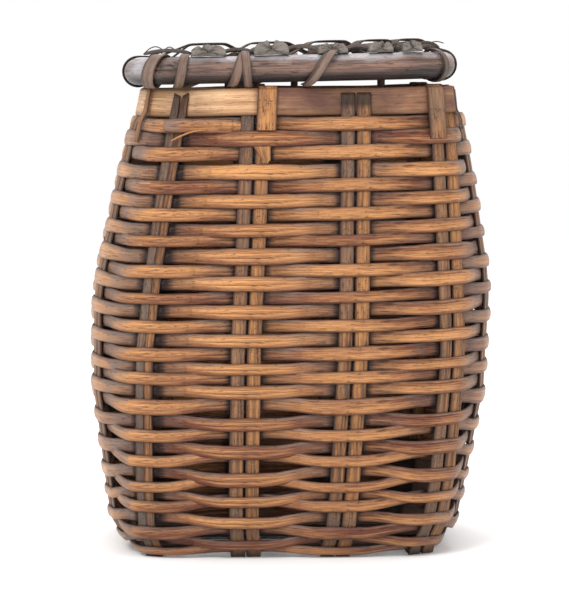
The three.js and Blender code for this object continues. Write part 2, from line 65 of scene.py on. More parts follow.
side_step = Vector((math.cos(VIEW_YAW), math.sin(VIEW_YAW), 0)) * AIM_SIDE
aim = Vector((0, 0, AIM_HEIGHT)) + side_step
eye = Vector((math.sin(VIEW_YAW), -math.cos(VIEW_YAW), 0)) * EYE_DISTANCE
camera = add_object("camera", bpy.data.cameras.new("camera"))
camera.data.lens = LENS
camera.data.sensor_width = SENSOR_WIDTH
camera.data.clip_end = FARTHEST_SEEN
camera.location = eye + side_step + Vector((0, 0, EYE_HEIGHT))
point_at(camera, aim)
bpy.context.scene.camera = camera

# The studio. A wide pale floor, one large soft lamp high in front on the left, a weaker one on the
# right, one above and behind, and an even white sky.
FLOOR_HALF = 4.0
FLOOR_WHITE = 0.97
FLOOR_ROUGHNESS = 0.9
# Each lamp has a name, a place and a size in metres, and a power in watts.
LAMPS = (
    ("key_lamp", (-1.5, -2.2, 2.3), 1.4, 72),
    ("fill_lamp", (2.1, -1.8, 1.2), 1.8, 16),
    ("top_lamp", (0.2, 0.9, 2.6), 1.6, 40),
)

floor_mesh = bpy.data.meshes.new("floor")
floor_corners = [(FLOOR_HALF * x, FLOOR_HALF * y, 0) for x, y in ((-1, -1), (1, -1), (1, 1), (-1, 1))]
floor_mesh.from_pydata(floor_corners, [], [(0, 1, 2, 3)])
floor_paint = bpy.data.materials.new("floor_paint")
floor_paint.use_nodes = True
floor_shader = floor_paint.node_tree.nodes["Principled BSDF"]
floor_shader.inputs["Base Color"].default_value = (FLOOR_WHITE, FLOOR_WHITE, FLOOR_WHITE, 1)
floor_shader.inputs["Roughness"].default_value = FLOOR_ROUGHNESS
floor_mesh.materials.append(floor_paint)
floor = add_object("floor", floor_mesh)

for lamp_name, lamp_place, lamp_size, lamp_power in LAMPS:
    lamp = add_object(lamp_name, bpy.data.lights.new(lamp_name, "AREA"))
    lamp.data.size = lamp_size
    lamp.data.energy = lamp_power
    lamp.location = lamp_place
    point_at(lamp, aim)

sky = bpy.data.worlds.new("sky")
sky.use_nodes = True
sky.node_tree.nodes["Background"].inputs["Color"].default_value = (1, 1, 1, 1)
sky.node_tree.nodes["Background"].inputs["Strength"].default_value = 1.0
bpy.context.scene.world = sky
bpy.context.scene.view_settings.view_transform = "Standard"

# The wall that every splint follows: a rounded rectangle in plan that swells at the belly, draws in
# to the rim, leans a little to the right and carries fourteen pairs of uprights. Shares of height
# are of the wall's height, and tables give heights first and the values at them after.
MM = 0.001
BELLY_HALF_WIDTH = 163 * MM
BELLY_HALF_DEPTH = 128 * MM
WALL_HEIGHT = 382.5 * MM
CORNER_EXPONENT = 6
PAIR_COUNT = 14
SWELL_SHARES = (
    (0, 0.03, 0.07, 0.17, 0.27, 0.35, 0.46, 0.55, 0.62, 0.7, 0.78, 0.85, 0.93, 0.945, 1),
    (0.755, 0.812, 0.872, 0.914, 0.955, 0.99, 1, 1, 0.98, 0.942, 0.906, 0.868, 0.822, 0.794, 0.766),
)
CORNER_SHARES = ((0, 0.12, 0.45, 0.8, 1), (1, 0.8, 0.62, 0.75, 1))
FRONT_SPREAD_SHARES = ((0, 0.03, 0.07, 0.17, 0.45, 0.85, 1), (0.8, 0.86, 0.91, 0.95, 1, 0.95, 0.93))
SIDE_SPREAD_SHARES = ((0, 0.07, 0.3, 0.7, 0.93, 1), (0.66, 0.8, 1, 0.97, 0.78, 0.74))
FRONT_PAIR_SHARES = (-0.681, -0.235, 0.293, 0.745)
SIDE_PAIR_SHARES = (-0.547, 0, 0.547)
LEFT_PAIR_DRIFT = ((0, 0.12, 0.35, 0.6, 0.8, 1), (-14, -12, -10, -6, 0, 8))
RIGHT_PAIR_DRIFT = ((0, 0.12, 0.35, 0.6, 0.85, 1), (9, 10, 9, 6, 3, 1))
LEAN_AT_BASE = -6 * MM
LEAN_AT_RIM = 6.5 * MM
RIM_RISE_TO_RIGHT = 3.6 * MM
PLAN_POINTS = 1441
TURN_STEP = 0.02
HEIGHT_STEP = 4 * MM
PAIR_STEP = 2 * MM

plan_turn = np.linspace(-0.75 * math.pi, 1.25 * math.pi, PLAN_POINTS)


def unit(vectors):
    return vectors / np.linalg.norm(vectors, axis=-1, keepdims=True)


def running_length(points):
    """The length along a line up to each of its points."""
    return np.concatenate([[0], np.cumsum(np.linalg.norm(np.diff(points, axis=0), axis=1))])


def wall_at(height):
    """Half width, half depth, corner exponent and the spread of the pairs at a height."""
    share = height / WALL_HEIGHT
    width = np.interp(share, *SWELL_SHARES)
    exponent = CORNER_EXPONENT * np.interp(share, *CORNER_SHARES)
    spreads = np.interp(share, *FRONT_SPREAD_SHARES), np.interp(share, *SIDE_SPREAD_SHARES)
    return BELLY_HALF_WIDTH * width, BELLY_HALF_DEPTH * width, exponent, spreads


def pair_places(height):
    """Where the middles of the pairs stand at a height, in order round the wall."""
    share = height / WALL_HEIGHT
    half_width, half_depth, exponent, (front_spread, side_spread) = wall_at(height)
    backs = [place * BELLY_HALF_WIDTH * front_spread for place in FRONT_PAIR_SHARES]
    sides = [place * BELLY_HALF_DEPTH * side_spread for place in SIDE_PAIR_SHARES]
    fronts = list(backs)
    fronts[0] += np.interp(share, *LEFT_PAIR_DRIFT) * MM
    fronts[-1] += np.interp(share, *RIGHT_PAIR_DRIFT) * MM

    def reach(place, along, across):
        return across * (1 - abs(place / along) ** exponent) ** (1 / exponent)

    places = [(x, -reach(x, half_width, half_depth)) for x in fronts]
    places += [(reach(y, half_depth, half_width), y) for y in sides]
    places += [(x, reach(x, half_width, half_depth)) for x in reversed(backs)]
    places += [(-reach(y, half_depth, half_width), y) for y in reversed(sides)]
    return np.array(places)


def plan_at(height):
    """The wall's outline at a height, its running length, and the running length at each pair."""
    half_width, half_depth, exponent, _ = wall_at(height)
    cos, sin = np.cos(plan_turn), np.sin(plan_turn)
    x = half_width * np.sign(cos) * np.abs(cos) ** (2 / exponent)
    y = half_depth * np.sign(sin) * np.abs(sin) ** (2 / exponent)
    outline = np.stack([x, y], axis=1)
    length = running_length(outline)
    offsets = pair_places(height)[:, None, :] - outline[None, :, :]
    nearest = np.argmin(np.linalg.norm(offsets, axis=2), axis=1)
    return outline, length, length[nearest]


def wall_points(height, pair_turns):
    """Points on the wall at one height. A pair turn of 3.5 is half way from pair 3 to pair 4."""
    outline, length, stops = plan_at(height)
    stops = np.concatenate([[stops[-1] - length[-1]], stops, [stops[0] + length[-1]]])
    turns = np.mod(np.asarray(pair_turns, float), PAIR_COUNT)
    turns = np.where(turns > PAIR_COUNT - 1, turns - PAIR_COUNT, turns)
    along = np.mod(np.interp(turns, np.arange(-1, PAIR_COUNT + 1), stops), length[-1])
    x = np.interp(along, length, outline[:, 0])
    y = np.interp(along, length, outline[:, 1])
    return np.stack([x, y, np.full_like(x, height)], axis=1)


def wall_frames(height, pair_turns):
    """Points on the wall with the unit directions along it, up it and out of it."""
    above = wall_points(min(height + HEIGHT_STEP, WALL_HEIGHT), pair_turns)
    below = wall_points(max(height - HEIGHT_STEP, 0), pair_turns)
    turns = np.asarray(pair_turns, float)
    along = unit(wall_points(height, turns + TURN_STEP) - wall_points(height, turns - TURN_STEP))
    outward = unit(np.cross(along, unit(above - below)))
    return wall_points(height, pair_turns), along, unit(np.cross(outward, along)), outward


def lean(points):
    """The old basket leans to its right, and its rows and rim rise a little to that side."""
    leant = points.copy()
    share = points[:, 2] / WALL_HEIGHT
    leant[:, 0] += LEAN_AT_BASE + (LEAN_AT_RIM - LEAN_AT_BASE) * share
    leant[:, 2] += RIM_RISE_TO_RIGHT * points[:, 0] * share / (2 * BELLY_HALF_WIDTH)
    leant[:, 2] = np.maximum(leant[:, 2], 0)
    return leant


# Upright splints. Fourteen pairs of flat splints stand round the wall. Each splint is one long strip
# that runs down one face, across under the base and up the opposite face. They are split from wood,
# rough and porous on their outer side, darker at the edges with painted shade, and show only in small
# windows.
SPLINT_WIDTH = 10 * MM
SPLINT_SPACING = 3 * MM
UPRIGHT_THICKNESS = 2.0 * MM
UPRIGHT_FULLNESS = 1.13
UPRIGHT_WAVER = 0.05
UPRIGHT_THINNING = 0.98
PAIR_HALF = SPLINT_WIDTH + SPLINT_SPACING / 2
MEMBER_OFFSET = (SPLINT_WIDTH + SPLINT_SPACING) / 2
STATION_HEIGHT = 5 * MM
CUT_END_BELOW_RIM = 4.5 * MM
# Pairs count from 0 at the front left: four on the front, three on the right, four on the back and
# three on the left. The members of a pair are -1 and 1.
FRONT_PAIRS = len(FRONT_PAIR_SHARES)
SIDE_PAIRS = len(SIDE_PAIR_SHARES)
LAST_BACK_PAIR = 2 * FRONT_PAIRS + SIDE_PAIRS - 1
FRONT_SEED = 20
SIDE_SEED = 40
# One member of the second and fourth pair folds over the rim band and ends in a wide tail.
FIT_GAP = 0.3 * MM
RIM_BAND_THICKNESS = 2.6 * MM
BAND_OFFSET = UPRIGHT_THICKNESS / 2 + FIT_GAP + RIM_BAND_THICKNESS / 2
FOLDED_MEMBERS = {1: 1, 3: -1}
FOLD_OFFSET = 2 * BAND_OFFSET
FOLD_SINK = 1.6 * MM
FOLD_TURNS = np.linspace(0, math.pi, 9)
TAIL_DROPS = np.linspace(0.1, 1, 10)
FOLD_STATIONS = 20
FOLD_FADE = 6
FOLD_WIDENING = 0.42
FOLD_SHIFT = 2.4 * MM
LONG_TAIL_PAIR = 3
TAIL_LENGTH = 33 * MM
LONG_TAIL_LENGTH = 41 * MM
TAIL_TUCK = 1.4 * MM
TAIL_TUCK_FROM = 0.7
# Under the base, the side-to-side splints lie on the front-to-back ones.
BASE_UNDER = UPRIGHT_THICKNESS / 2
BASE_OVER = BASE_UNDER + UPRIGHT_THICKNESS + FIT_GAP
BASE_TOP = 4 * MM
FOOT_HEIGHT = 9 * MM
FOOT_BEND = 7.7 * MM
FOOT_STATIONS = 27
# The left front pair is narrower, duller and closer together, and its tips are cut at a slant.
DULL_DEPTH = 60 * MM
LEFT_PAIR_NARROWING = 0.34
LEFT_PAIR_CLOSING = 2.9 * MM
TIP_LENGTH = 22 * MM
TIP_SLANT = 0.5
TIP_NARROWING = 0.22
# Where the splints' tones change, in shares of the wall's height or of a tip, and by how much a fold
# changes the tone and the age of its pair.
FOOT_AGE_SHARE = 0.1
FOOT_SHADE_SHARES = (0.1, 0.4)
TIP_SHADE_SHARES = (0.45, 0.57)
FOLD_TONES = {1: (0.02, -0.15), 3: (-0.02, 0.02)}
# Sections are shares of the half width and the half thickness, round the splint.
FLAT_SECTION = (
    (-1, -0.55), (-1, 0.45), (-0.9, 0.9), (-0.5, 1), (0, 0.9), (0.5, 1), (0.9, 0.9), (1, 0.45),
    (1, -0.55), (0.9, -1), (0, -1), (-0.9, -1),
)
# Grains have waves per metre along and round the splint, then detail, roughness and a shift. Dots
# and knots are cells, as many per metre.
STREAK_GRAIN = (7, 230, 2.0, 0.5, 7.7)
BLOTCH_GRAIN = (30, 55, 3.0, 0.6, 1.3)
DARK_LINE_GRAIN = (14, 1300, 2.0, 0.5, 9.1)
PALE_LINE_GRAIN = (11, 800, 2.0, 0.5, 4.3)
PORE_GRAIN = (170, 1300, 2.0, 0.6, 5.5)
DOT_PATCH_GRAIN = (55, 40, 1.0, 0.5, 2.2)
DOT_CELLS = (560, 560, 1)
KNOT_CELLS = (14, 75, 1)
GRAIN_DEPTH = 0.0012
WOOD_SPECULAR = 0.35
AGED_ROUGHNESS = 0.3


def ramp(values, start, stop):
    """0 before the start, 1 after the stop and even between them."""
    return np.clip((values - start) / (stop - start), 0, 1)


def smooth_wander(count, waves, seed):
    """A gentle random line that joins up with itself, between about -1 and 1."""
    dice = np.random.default_rng(seed)
    place = np.linspace(0, 2 * math.pi, count, endpoint=False)
    line = np.zeros(count)
    for wave in range(1, waves + 1):
        line += dice.normal() * np.sin(wave * place + dice.uniform(0, 2 * math.pi)) / math.sqrt(wave)
    return line / max(1e-9, np.abs(line).max())


def finish_mesh(mesh, tones, finish):
    """Gives a mesh its tones, smooth faces that look outward, and its material."""
    for tone, values in tones.items():
        mesh.attributes.new(tone, "FLOAT", "POINT").data.foreach_set("value", values)
    mesh.polygons.foreach_set("use_smooth", [True] * len(mesh.polygons))
    shell = bmesh.new()
    shell.from_mesh(mesh)
    bmesh.ops.recalc_face_normals(shell, faces=shell.faces)
    shell.to_mesh(mesh)
    shell.free()
    mesh.materials.append(finish)


def splint_mesh(name, middles, across, outward, half_width, half_thick, section, closed, tones, finish):
    """A splint carried along its middle line. Tones are one value, or one for each station, or one
    for each corner of each station, and the section gives how near its edge each corner is."""
    count, sides = len(middles), len(section)
    section = np.array(section)
    half_width = np.broadcast_to(half_width, count)
    half_thick = np.broadcast_to(half_thick, count)
    corners = middles[:, None, :]
    corners = corners + across[:, None, :] * (section[None, :, 0] * half_width[:, None])[..., None]
    corners = corners + outward[:, None, :] * (section[None, :, 1] * half_thick[:, None])[..., None]
    spans = count if closed else count - 1
    station, side = np.arange(spans)[:, None], np.arange(sides)[None, :]
    here, there = station * sides, (station + 1) % count * sides
    other = (side + 1) % sides
    quads = np.stack([here + side, there + side, there + other, here + other], axis=2).reshape(-1, 4)
    faces = [tuple(quad) for quad in quads.tolist()]
    if not closed:
        faces.append(tuple(range(sides)))
        faces.append(tuple(range(count * sides - 1, (count - 1) * sides - 1, -1)))
    mesh = bpy.data.meshes.new(name)
    mesh.from_pydata(corners.reshape(-1, 3).tolist(), [], faces)

    run = running_length(np.vstack([middles, middles[:1]]))
    ring = section * [half_width.mean(), half_thick.mean()]
    around = running_length(np.vstack([ring, ring[:1]]))
    lay = np.empty((spans, sides, 4, 2))
    lay[..., 0, 0] = lay[..., 3, 0] = run[station]
    lay[..., 1, 0] = lay[..., 2, 0] = run[station + 1]
    lay[..., 0, 1] = lay[..., 1, 1] = around[side]
    lay[..., 2, 1] = lay[..., 3, 1] = around[side + 1]
    lay = lay.reshape(-1, 2)
    if not closed:
        lay = np.vstack([lay, ring, ring[::-1]])
    mesh.uv_layers.new(name="lay").data.foreach_set("uv", lay.ravel())
    shares = {}
    for tone, values in {**tones, "edge": tones.get("edge", section[None, :, 0])}.items():
        values = np.asarray(values, float)
        values = values[:, None] if values.ndim == 1 else values
        shares[tone] = np.broadcast_to(values, (count, sides)).ravel()
    finish_mesh(mesh, shares, finish)
    return add_object(name, mesh)


def paint(red, green, blue):
    """A colour from its screen values, 0 to 255."""
    shares = [value / 255 for value in (red, green, blue)]
    linear = [share / 12.92 if share < 0.04045 else ((share + 0.055) / 1.055) ** 2.4 for share in shares]
    return (*linear, 1)


def shaded(colour, share):
    """A colour made darker or lighter."""
    return tuple(min(1, share * part) for part in colour[:3]) + (1,)


def splint_finish(name, fresh, deep, aged, gloss, pores, relief, fibres, grey_upper=0.0, dots=0.0):
    """Split wood: long fibres, streaks, blotches, small dark pores and a few knots, with painted shade
    along the edges. The mesh gives the age (how grey), tone (how light), shade (painted shade, deepest
    in the weave, with a few dark marks) and edge of every point."""
    material = bpy.data.materials.new(name)
    material.use_nodes = True
    tree = material.node_tree
    shader = tree.nodes["Principled BSDF"]

    def node(kind, links=(), **settings):
        made = tree.nodes.new(kind)
        for key, value in settings.items():
            if key in made.inputs:
                made.inputs[key].default_value = value
            else:
                setattr(made, key, value)
        for socket, source in links:
            tree.links.new(source, made.inputs[socket])
        return made

    def feed(made, values):
        """Sets a socket to a number or colour, or links it to another node's output."""
        for socket, value in values:
            if isinstance(value, (tuple, float)):
                made.inputs[socket].default_value = value
            else:
                tree.links.new(value, made.inputs[socket])
        return made

    lay = node("ShaderNodeUVMap", uv_map="lay").outputs[0]

    def grain(along, around, detail=3.0, rough=0.6, shift=0.0):
        placed = node("ShaderNodeMapping", [(0, lay)], Scale=(along, around, 1), Location=(shift,) * 3)
        made = node("ShaderNodeTexNoise", [(0, placed.outputs[0])], Scale=1.0, Detail=detail, Roughness=rough)
        return made.outputs[0]

    def cells(scale):
        placed = node("ShaderNodeMapping", [(0, lay)], Scale=scale)
        return node("ShaderNodeTexVoronoi", [(0, placed.outputs[0])], Scale=1.0).outputs[0]

    def limits(source, low, high, start=0.0, end=1.0):
        made = node("ShaderNodeMapRange", [(0, source)], clamp=True)
        return feed(made, zip((1, 2, 3, 4), (float(value) for value in (low, high, start, end)))).outputs[0]

    def maths(kind, first, second):
        return feed(node("ShaderNodeMath", operation=kind), ((0, first), (1, second))).outputs[0]

    def blend(share, first, second):
        return feed(node("ShaderNodeMix", data_type="RGBA"), ((0, share), (6, first), (7, second))).outputs[2]

    def mesh_value(label):
        return node("ShaderNodeAttribute", attribute_name=label).outputs["Fac"]

    def centred(source, share):
        return maths("MULTIPLY", maths("SUBTRACT", source, 0.5), share)

    # Fibres and streaks mix the deep and the fresh colour, and fine lines run darker and paler. The
    # pale lines are partly grain and partly a painted highlight along the fibres.
    fibre = grain(*fibres)
    fine = grain(fibres[0] * 2.5, fibres[1] * 3, 2.0, 0.7, 3.1)
    streak = grain(*STREAK_GRAIN)
    blotch = grain(*BLOTCH_GRAIN)
    light = maths("ADD", limits(fibre, 0.34, 0.66, 0.0, 0.36), limits(streak, 0.32, 0.68, 0.0, 0.34))
    light = maths("ADD", light, maths("SUBTRACT", mesh_value("tone"), 0.5))
    colour = blend(limits(light, 0.02, 0.7), deep, fresh)
    dark_line = limits(grain(*DARK_LINE_GRAIN), 0.56, 0.68, 0.0, 0.6)
    colour = blend(dark_line, colour, shaded(deep, 0.55))
    colour = blend(limits(grain(*PALE_LINE_GRAIN), 0.56, 0.7, 0.0, 0.5), colour, shaded(fresh, 1.35))
    # Age is grey in blotches and along the upper edge, and the lower edge is painted darker and redder as
    # shade.
    age = maths("ADD", mesh_value("age"), centred(blotch, 1.1))
    edge = maths("ADD", mesh_value("edge"), centred(streak, 0.9))
    age = maths("ADD", age, limits(edge, 0.35, 0.75, 0.0, grey_upper))
    colour = blend(limits(age, 0.15, 0.95), colour, aged)
    colour = blend(limits(edge, -0.95, -0.45, 0.5, 0.0), colour, shaded(deep, 0.8))
    # Pores, patches of small dots, and knots.
    pore = limits(grain(*PORE_GRAIN), 0.6, 0.72)
    colour = blend(maths("MULTIPLY", pore, pores), colour, shaded(deep, 0.22))
    dot = limits(cells(DOT_CELLS), 0.18, 0.36, dots, 0.0)
    dot = maths("MULTIPLY", dot, limits(grain(*DOT_PATCH_GRAIN), 0.48, 0.56))
    colour = blend(dot, colour, shaded(deep, 0.4))
    colour = blend(limits(cells(KNOT_CELLS), 0.05, 0.11, 0.7, 0.0), colour, shaded(deep, 0.3))
    # Painted shade: a dark line along both edges, and the shade deep in the weave.
    edge_shade = maths("ADD", maths("ABSOLUTE", mesh_value("edge"), 0.0), maths("MULTIPLY", fibre, 0.3))
    colour = blend(limits(edge_shade, 0.93, 1.16, 0.0, 0.8), colour, shaded(deep, 0.35))
    colour = blend(limits(mesh_value("shade"), 0.0, 1.0), colour, shaded(deep, 0.12))
    tree.links.new(colour, shader.inputs["Base Color"])
    dryness = maths("ADD", fine, maths("MULTIPLY", age, 0.3))
    tree.links.new(limits(dryness, 0.3, 1.0, gloss, gloss + AGED_ROUGHNESS), shader.inputs["Roughness"])
    height = maths("ADD", maths("MULTIPLY", fibre, 0.6), maths("MULTIPLY", fine, 0.4))
    height = maths("SUBTRACT", height, maths("MULTIPLY", maths("ADD", pore, dark_line), 0.5))
    bump = node("ShaderNodeBump", [("Height", height)], Strength=relief, Distance=GRAIN_DEPTH)
    tree.links.new(bump.outputs[0], shader.inputs["Normal"])
    shader.inputs["Specular IOR Level"].default_value = WOOD_SPECULAR
    return material


upright_finish = splint_finish(
    "upright_wood", fresh=paint(178, 122, 70), deep=paint(78, 46, 30), aged=paint(104, 92, 82),
    gloss=0.45, pores=0.9, relief=0.7, fibres=(60, 700), dots=0.8,
)


# The splints keep the direction along the wall that they have half way up.
_, pair_along, _, _ = wall_frames(WALL_HEIGHT / 2, np.arange(PAIR_COUNT))


def pair_frame(index, height):
    """Middle of a pair at a height, with the directions along the wall, up and out."""
    along = pair_along[index]
    middle = np.append(pair_places(height)[index], height)
    above = np.append(pair_places(height + PAIR_STEP)[index], height + PAIR_STEP)
    outward = unit(np.cross(along, unit(above - middle)))
    return middle, along, unit(np.cross(outward, along)), outward


def upright_leg(index, member, folded, top):
    """Stations of one leg from the foot upward, each a middle, an along and an outward direction."""
    leg = []
    for height in [*np.arange(FOOT_HEIGHT, top, STATION_HEIGHT), top]:
        middle, along, _, outward = pair_frame(index, height)
        leg.append((middle + along * member * MEMBER_OFFSET, along, outward))
    if not folded:
        return leg
    middle, along, rise, outward = pair_frame(index, WALL_HEIGHT)
    side = middle + along * member * MEMBER_OFFSET
    reach = FOLD_OFFSET / 2
    for turn in FOLD_TURNS:
        bend = side + outward * reach * (1 - math.cos(turn)) + rise * (reach * math.sin(turn) - FOLD_SINK)
        leg.append((bend, along, outward * math.cos(turn) + rise * math.sin(turn)))
    tail = LONG_TAIL_LENGTH if index == LONG_TAIL_PAIR else TAIL_LENGTH
    for drop in TAIL_DROPS:
        middle, along, _, outward = pair_frame(index, WALL_HEIGHT - tail * drop - FOLD_SINK)
        tuck = FOLD_OFFSET - TAIL_TUCK * max(0, drop - TAIL_TUCK_FROM)
        leg.append((middle + along * member * MEMBER_OFFSET + outward * tuck, along, -outward))
    return leg


def upright_foot(first_end, second_end, level):
    """Stations of the stretch under the base, from the lowest station of one leg to the other's."""
    low, high = first_end[0], second_end[0]
    foot = []
    for share in np.linspace(0, 1, FOOT_STATIONS)[1:-1]:
        place = low + (high - low) * share
        drop = min(1, min(share, 1 - share) * np.linalg.norm(high - low) / FOOT_BEND) ** 0.5
        place[2] = FOOT_HEIGHT + (level - FOOT_HEIGHT) * drop
        along = unit(first_end[1] * (1 - share) + second_end[1] * share)
        leg_side = first_end[2] if share < 0.5 else second_end[2]
        foot.append((place, along, unit(leg_side * (1 - drop) - np.array([0, 0, drop]))))
    return foot


def make_upright(name, start, end, member, folded, over, seed):
    """One splint from the rim at its starting pair, under the base and up to its ending pair."""
    top = WALL_HEIGHT - (0 if start % 2 else CUT_END_BELOW_RIM)
    first = upright_leg(start, member, folded, top)[::-1]
    second = [(place, -along, out) for place, along, out in upright_leg(end, -member, folded, top)]
    stations = first + upright_foot(first[-1], second[0], BASE_OVER if over else BASE_UNDER) + second
    middles, across, outward = (np.array(column) for column in zip(*stations))
    count = len(stations)
    wander = smooth_wander(count, 9, seed)
    half = SPLINT_WIDTH / 2 * (UPRIGHT_FULLNESS + UPRIGHT_WAVER * wander)
    dull, fold, tip = np.zeros(count), np.zeros(count), np.zeros(count)
    if start == 0:
        dull = ramp(-middles[:, 1], 0, DULL_DEPTH)
        half = half * (1 - LEFT_PAIR_NARROWING * dull)
        middles = middles - across * (member * LEFT_PAIR_CLOSING * dull)[:, None]
    if folded:
        from_start = np.arange(count)
        fold = ramp(FOLD_STATIONS - np.minimum(from_start, from_start[::-1]), 0, FOLD_FADE)
        half = half * (1 + FOLD_WIDENING * fold)
        leg_sign = np.where(from_start < count / 2, 1, -1)
        middles = middles + across * (member * leg_sign * FOLD_SHIFT * fold)[:, None]
    if start % 2 == 0:
        tip = ramp(middles[:, 2], top - TIP_LENGTH, top)
    if start == 0:
        half = half * (1 - TIP_NARROWING * tip)
        slant = np.array([0, 0, TIP_SLANT * member])
        across[0], across[-1] = unit(across[0] + slant), unit(across[-1] - slant)
    share = middles[:, 2] / WALL_HEIGHT
    fold_tone, fold_age = FOLD_TONES.get(start, (0, 0))
    tip_shade = 0.5 * tip if start == 0 else 0.75 * ramp(tip, *TIP_SHADE_SHARES)
    age = 0.30 + 0.2 * smooth_wander(count, 15, seed + 7) - 0.12 * member + 0.15 * (share < FOOT_AGE_SHARE)
    # Painted shade: darker under the base and low in the weave, and lighter on a fold over the rim.
    base_shade = np.where(middles[:, 2] < BASE_TOP, 0.35, 0.12)
    base_shade = base_shade + 0.2 * (1 - ramp(share, *FOOT_SHADE_SHARES))
    tones = {
        "tone": 0.47 + 0.13 * wander + 0.07 * member - 0.2 * dull + fold_tone * fold,
        "age": age + 0.1 * (1 - member) * dull + fold_age * fold,
        "shade": base_shade - 0.1 * fold + tip_shade,
    }
    half_thick = UPRIGHT_THICKNESS / 2 * UPRIGHT_THINNING
    piece = splint_mesh(
        name, lean(middles), across, outward, half, half_thick, FLAT_SECTION, False, tones, upright_finish
    )
    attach(piece, "basket")
    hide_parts(name)


for order in range(FRONT_PAIRS):
    for member, side in ((-1, "left"), (1, "right")):
        seed = FRONT_SEED + 2 * order + member
        folds = member == FOLDED_MEMBERS.get(order)
        label = f"upright_front_{order + 1}_{side}"
        make_upright(label, order, LAST_BACK_PAIR - order, member, folds, False, seed)
for order in range(SIDE_PAIRS):
    for member, side in ((-1, "front"), (1, "rear")):
        seed = SIDE_SEED + 2 * order + member
        label = f"upright_side_{order + 1}_{side}"
        make_upright(label, FRONT_PAIRS + order, PAIR_COUNT - 1 - order, member, False, True, seed)

# Weaver rows. Each row is one flat wooden splint, a little rounded on its outer side, that goes
# round the wall outside one pair of uprights and inside the next. The outer humps are more golden,
# the hollows duller and greyer with painted shade, and a painted shadow lies beside each pair where
# the row goes behind it. The lowest rows sag between their pairs.
ROW_COUNT = 33
FIRST_ROW_HEIGHT = 7 * MM
TOP_ROW_HEIGHT = 351.3 * MM
ROW_PLACE_SHARES = (
    (0, 0.09, 0.22, 0.28, 0.375, 0.47, 0.56, 0.81, 0.875, 0.94, 1),
    (0, 0.08, 0.1925, 0.251, 0.35, 0.449, 0.542, 0.792, 0.8634, 0.935, 1),
)
ROW_WIDTH_SHARE = 0.947
ROW_THICKNESS = 2.4 * MM
ROW_OFFSET = UPRIGHT_THICKNESS / 2 + FIT_GAP + ROW_THICKNESS / 2
SOFT_WIDTH = 4.5 * MM
EVEN_STEP = 1 * MM
STATION_STEP = 3.4 * MM
# A woven line runs straight past each pair, with a little room, and crosses over between the pairs.
WOVEN_ROOM = 1 * MM
WOVEN_CROSSING = (0.17, 0.83)
WOVEN_POINTS_BETWEEN = 7
# On the front every row has a width and a place of its own, in millimetres, the lowest row first.
ROW_FRONT_WIDTHS = (
    8.8, 9.4, 12, 10, 10, 9, 8.8, 12, 9.8, 12, 10.4, 11, 13.6, 11.2, 10.4, 9.4, 11.6,
    10.8, 10.6, 12, 9.2, 12.4, 10.8, 13.8, 9.4, 11.2, 11.2, 11.6, 11.4, 12.8, 12.2, 13, 11.8,
)
ROW_SHIFTS = (
    0, -2.4, -2, -2.5, 2.2, -2.6, 0, -2.6, 1.6, -1.8, 0, -2, 0.8, 1.3, 1, -2.6, -2.4,
    -2.2, -1.8, -0.9, -0.6, 0.2, -0.6, 0.2, 1.9, -0.7, 1.2, 0, 0, -0.8, 2.6, 2.4, 2.2,
)
# Rows sag between their pairs, and rise to the right and round the left corner: the rows, then by
# how many millimetres.
SAGS = ((0, 1, 2, 3, 5, 7, 9, 12, 14, 33), (0.4, 2.0, 1.7, 2.3, 2.8, 3.1, 1.9, 1.3, 0.5, 0.5))
ROW_RISES = ((0, 6, 14, 26, 32), (1, 2.4, 3.2, 3.2, 1.2))
RISE_TO_RIGHT = (0.25, 0.9)
RISE_TO_LEFT = (0.86, 0.98)
LEFT_RISE_SHARE = 0.9
SLOW_DRIFT = 0.6 * MM
QUICK_DRIFT = 0.2 * MM
ROW_SWELL_SHARE = 0.08
ROW_WIDTH_WAVER = 0.05
ROW_TWIST = 0.05
FRONT_HOLLOW_WIDTH = 1.16
# The back rows stay even, sag little and are wide enough to let almost no light through.
BACK_FADE = 20 * MM
BACK_SAG_LOSS = 0.92
BACK_WIDTH = 1.26
BACK_FOOT_WIDTH = 1.5
BACK_FOOT_ROWS = 5
LOWEST_DRIFT = -0.4 * MM
BACK_SETTLING = 1.0 * MM
BACK_SETTLED_SWELL = 0.2
FLOOR_ROOM = 0.25 * MM
GOLDEN_ROWS = (9, 11, 15, 16, 18, 19, 22, 23, 27, 28, 30)
RED_ROWS = (1, 2, 3, 10, 12, 17, 21, 25, 29, 32)
# Where a row's tones change, in shares of the half width. A corner is where the shares of the half
# width and of the half depth add up to more.
SCRAPE_PLACE = 0.9
SCRAPE_REACH = 0.035
SCRAPED_CORNER = (1.55, 1.65)
CORNER_GREY = (0.74, 0.9)
LEFT_GREY = (0.55, 0.85)
LEFT_FACE = (0.86, 0.96)
RIGHT_FACE = (0.92, 0.98)
CROWN_SECTION = (
    (-1, -0.5), (-0.97, -0.05), (-0.84, 0.42), (-0.6, 0.8), (-0.25, 1.05), (0.15, 1.08), (0.5, 0.88),
    (0.8, 0.5), (0.96, 0), (1, -0.5), (0.88, -0.9), (0.4, -1), (-0.4, -1), (-0.88, -0.9),
)

row_finish = splint_finish(
    "row_wood", fresh=paint(196, 138, 84), deep=paint(96, 47, 29), aged=paint(120, 99, 88),
    gloss=0.25, pores=0.6, relief=0.9, fibres=(45, 900), grey_upper=0.55, dots=0.25,
)


def row_height(row):
    share = np.interp(row / (ROW_COUNT - 1), *ROW_PLACE_SHARES)
    return FIRST_ROW_HEIGHT + (TOP_ROW_HEIGHT - FIRST_ROW_HEIGHT) * share


def row_width(row):
    low, high = max(row - 1, 0), min(row + 1, ROW_COUNT - 1)
    return ROW_WIDTH_SHARE * (row_height(high) - row_height(low)) / (high - low)


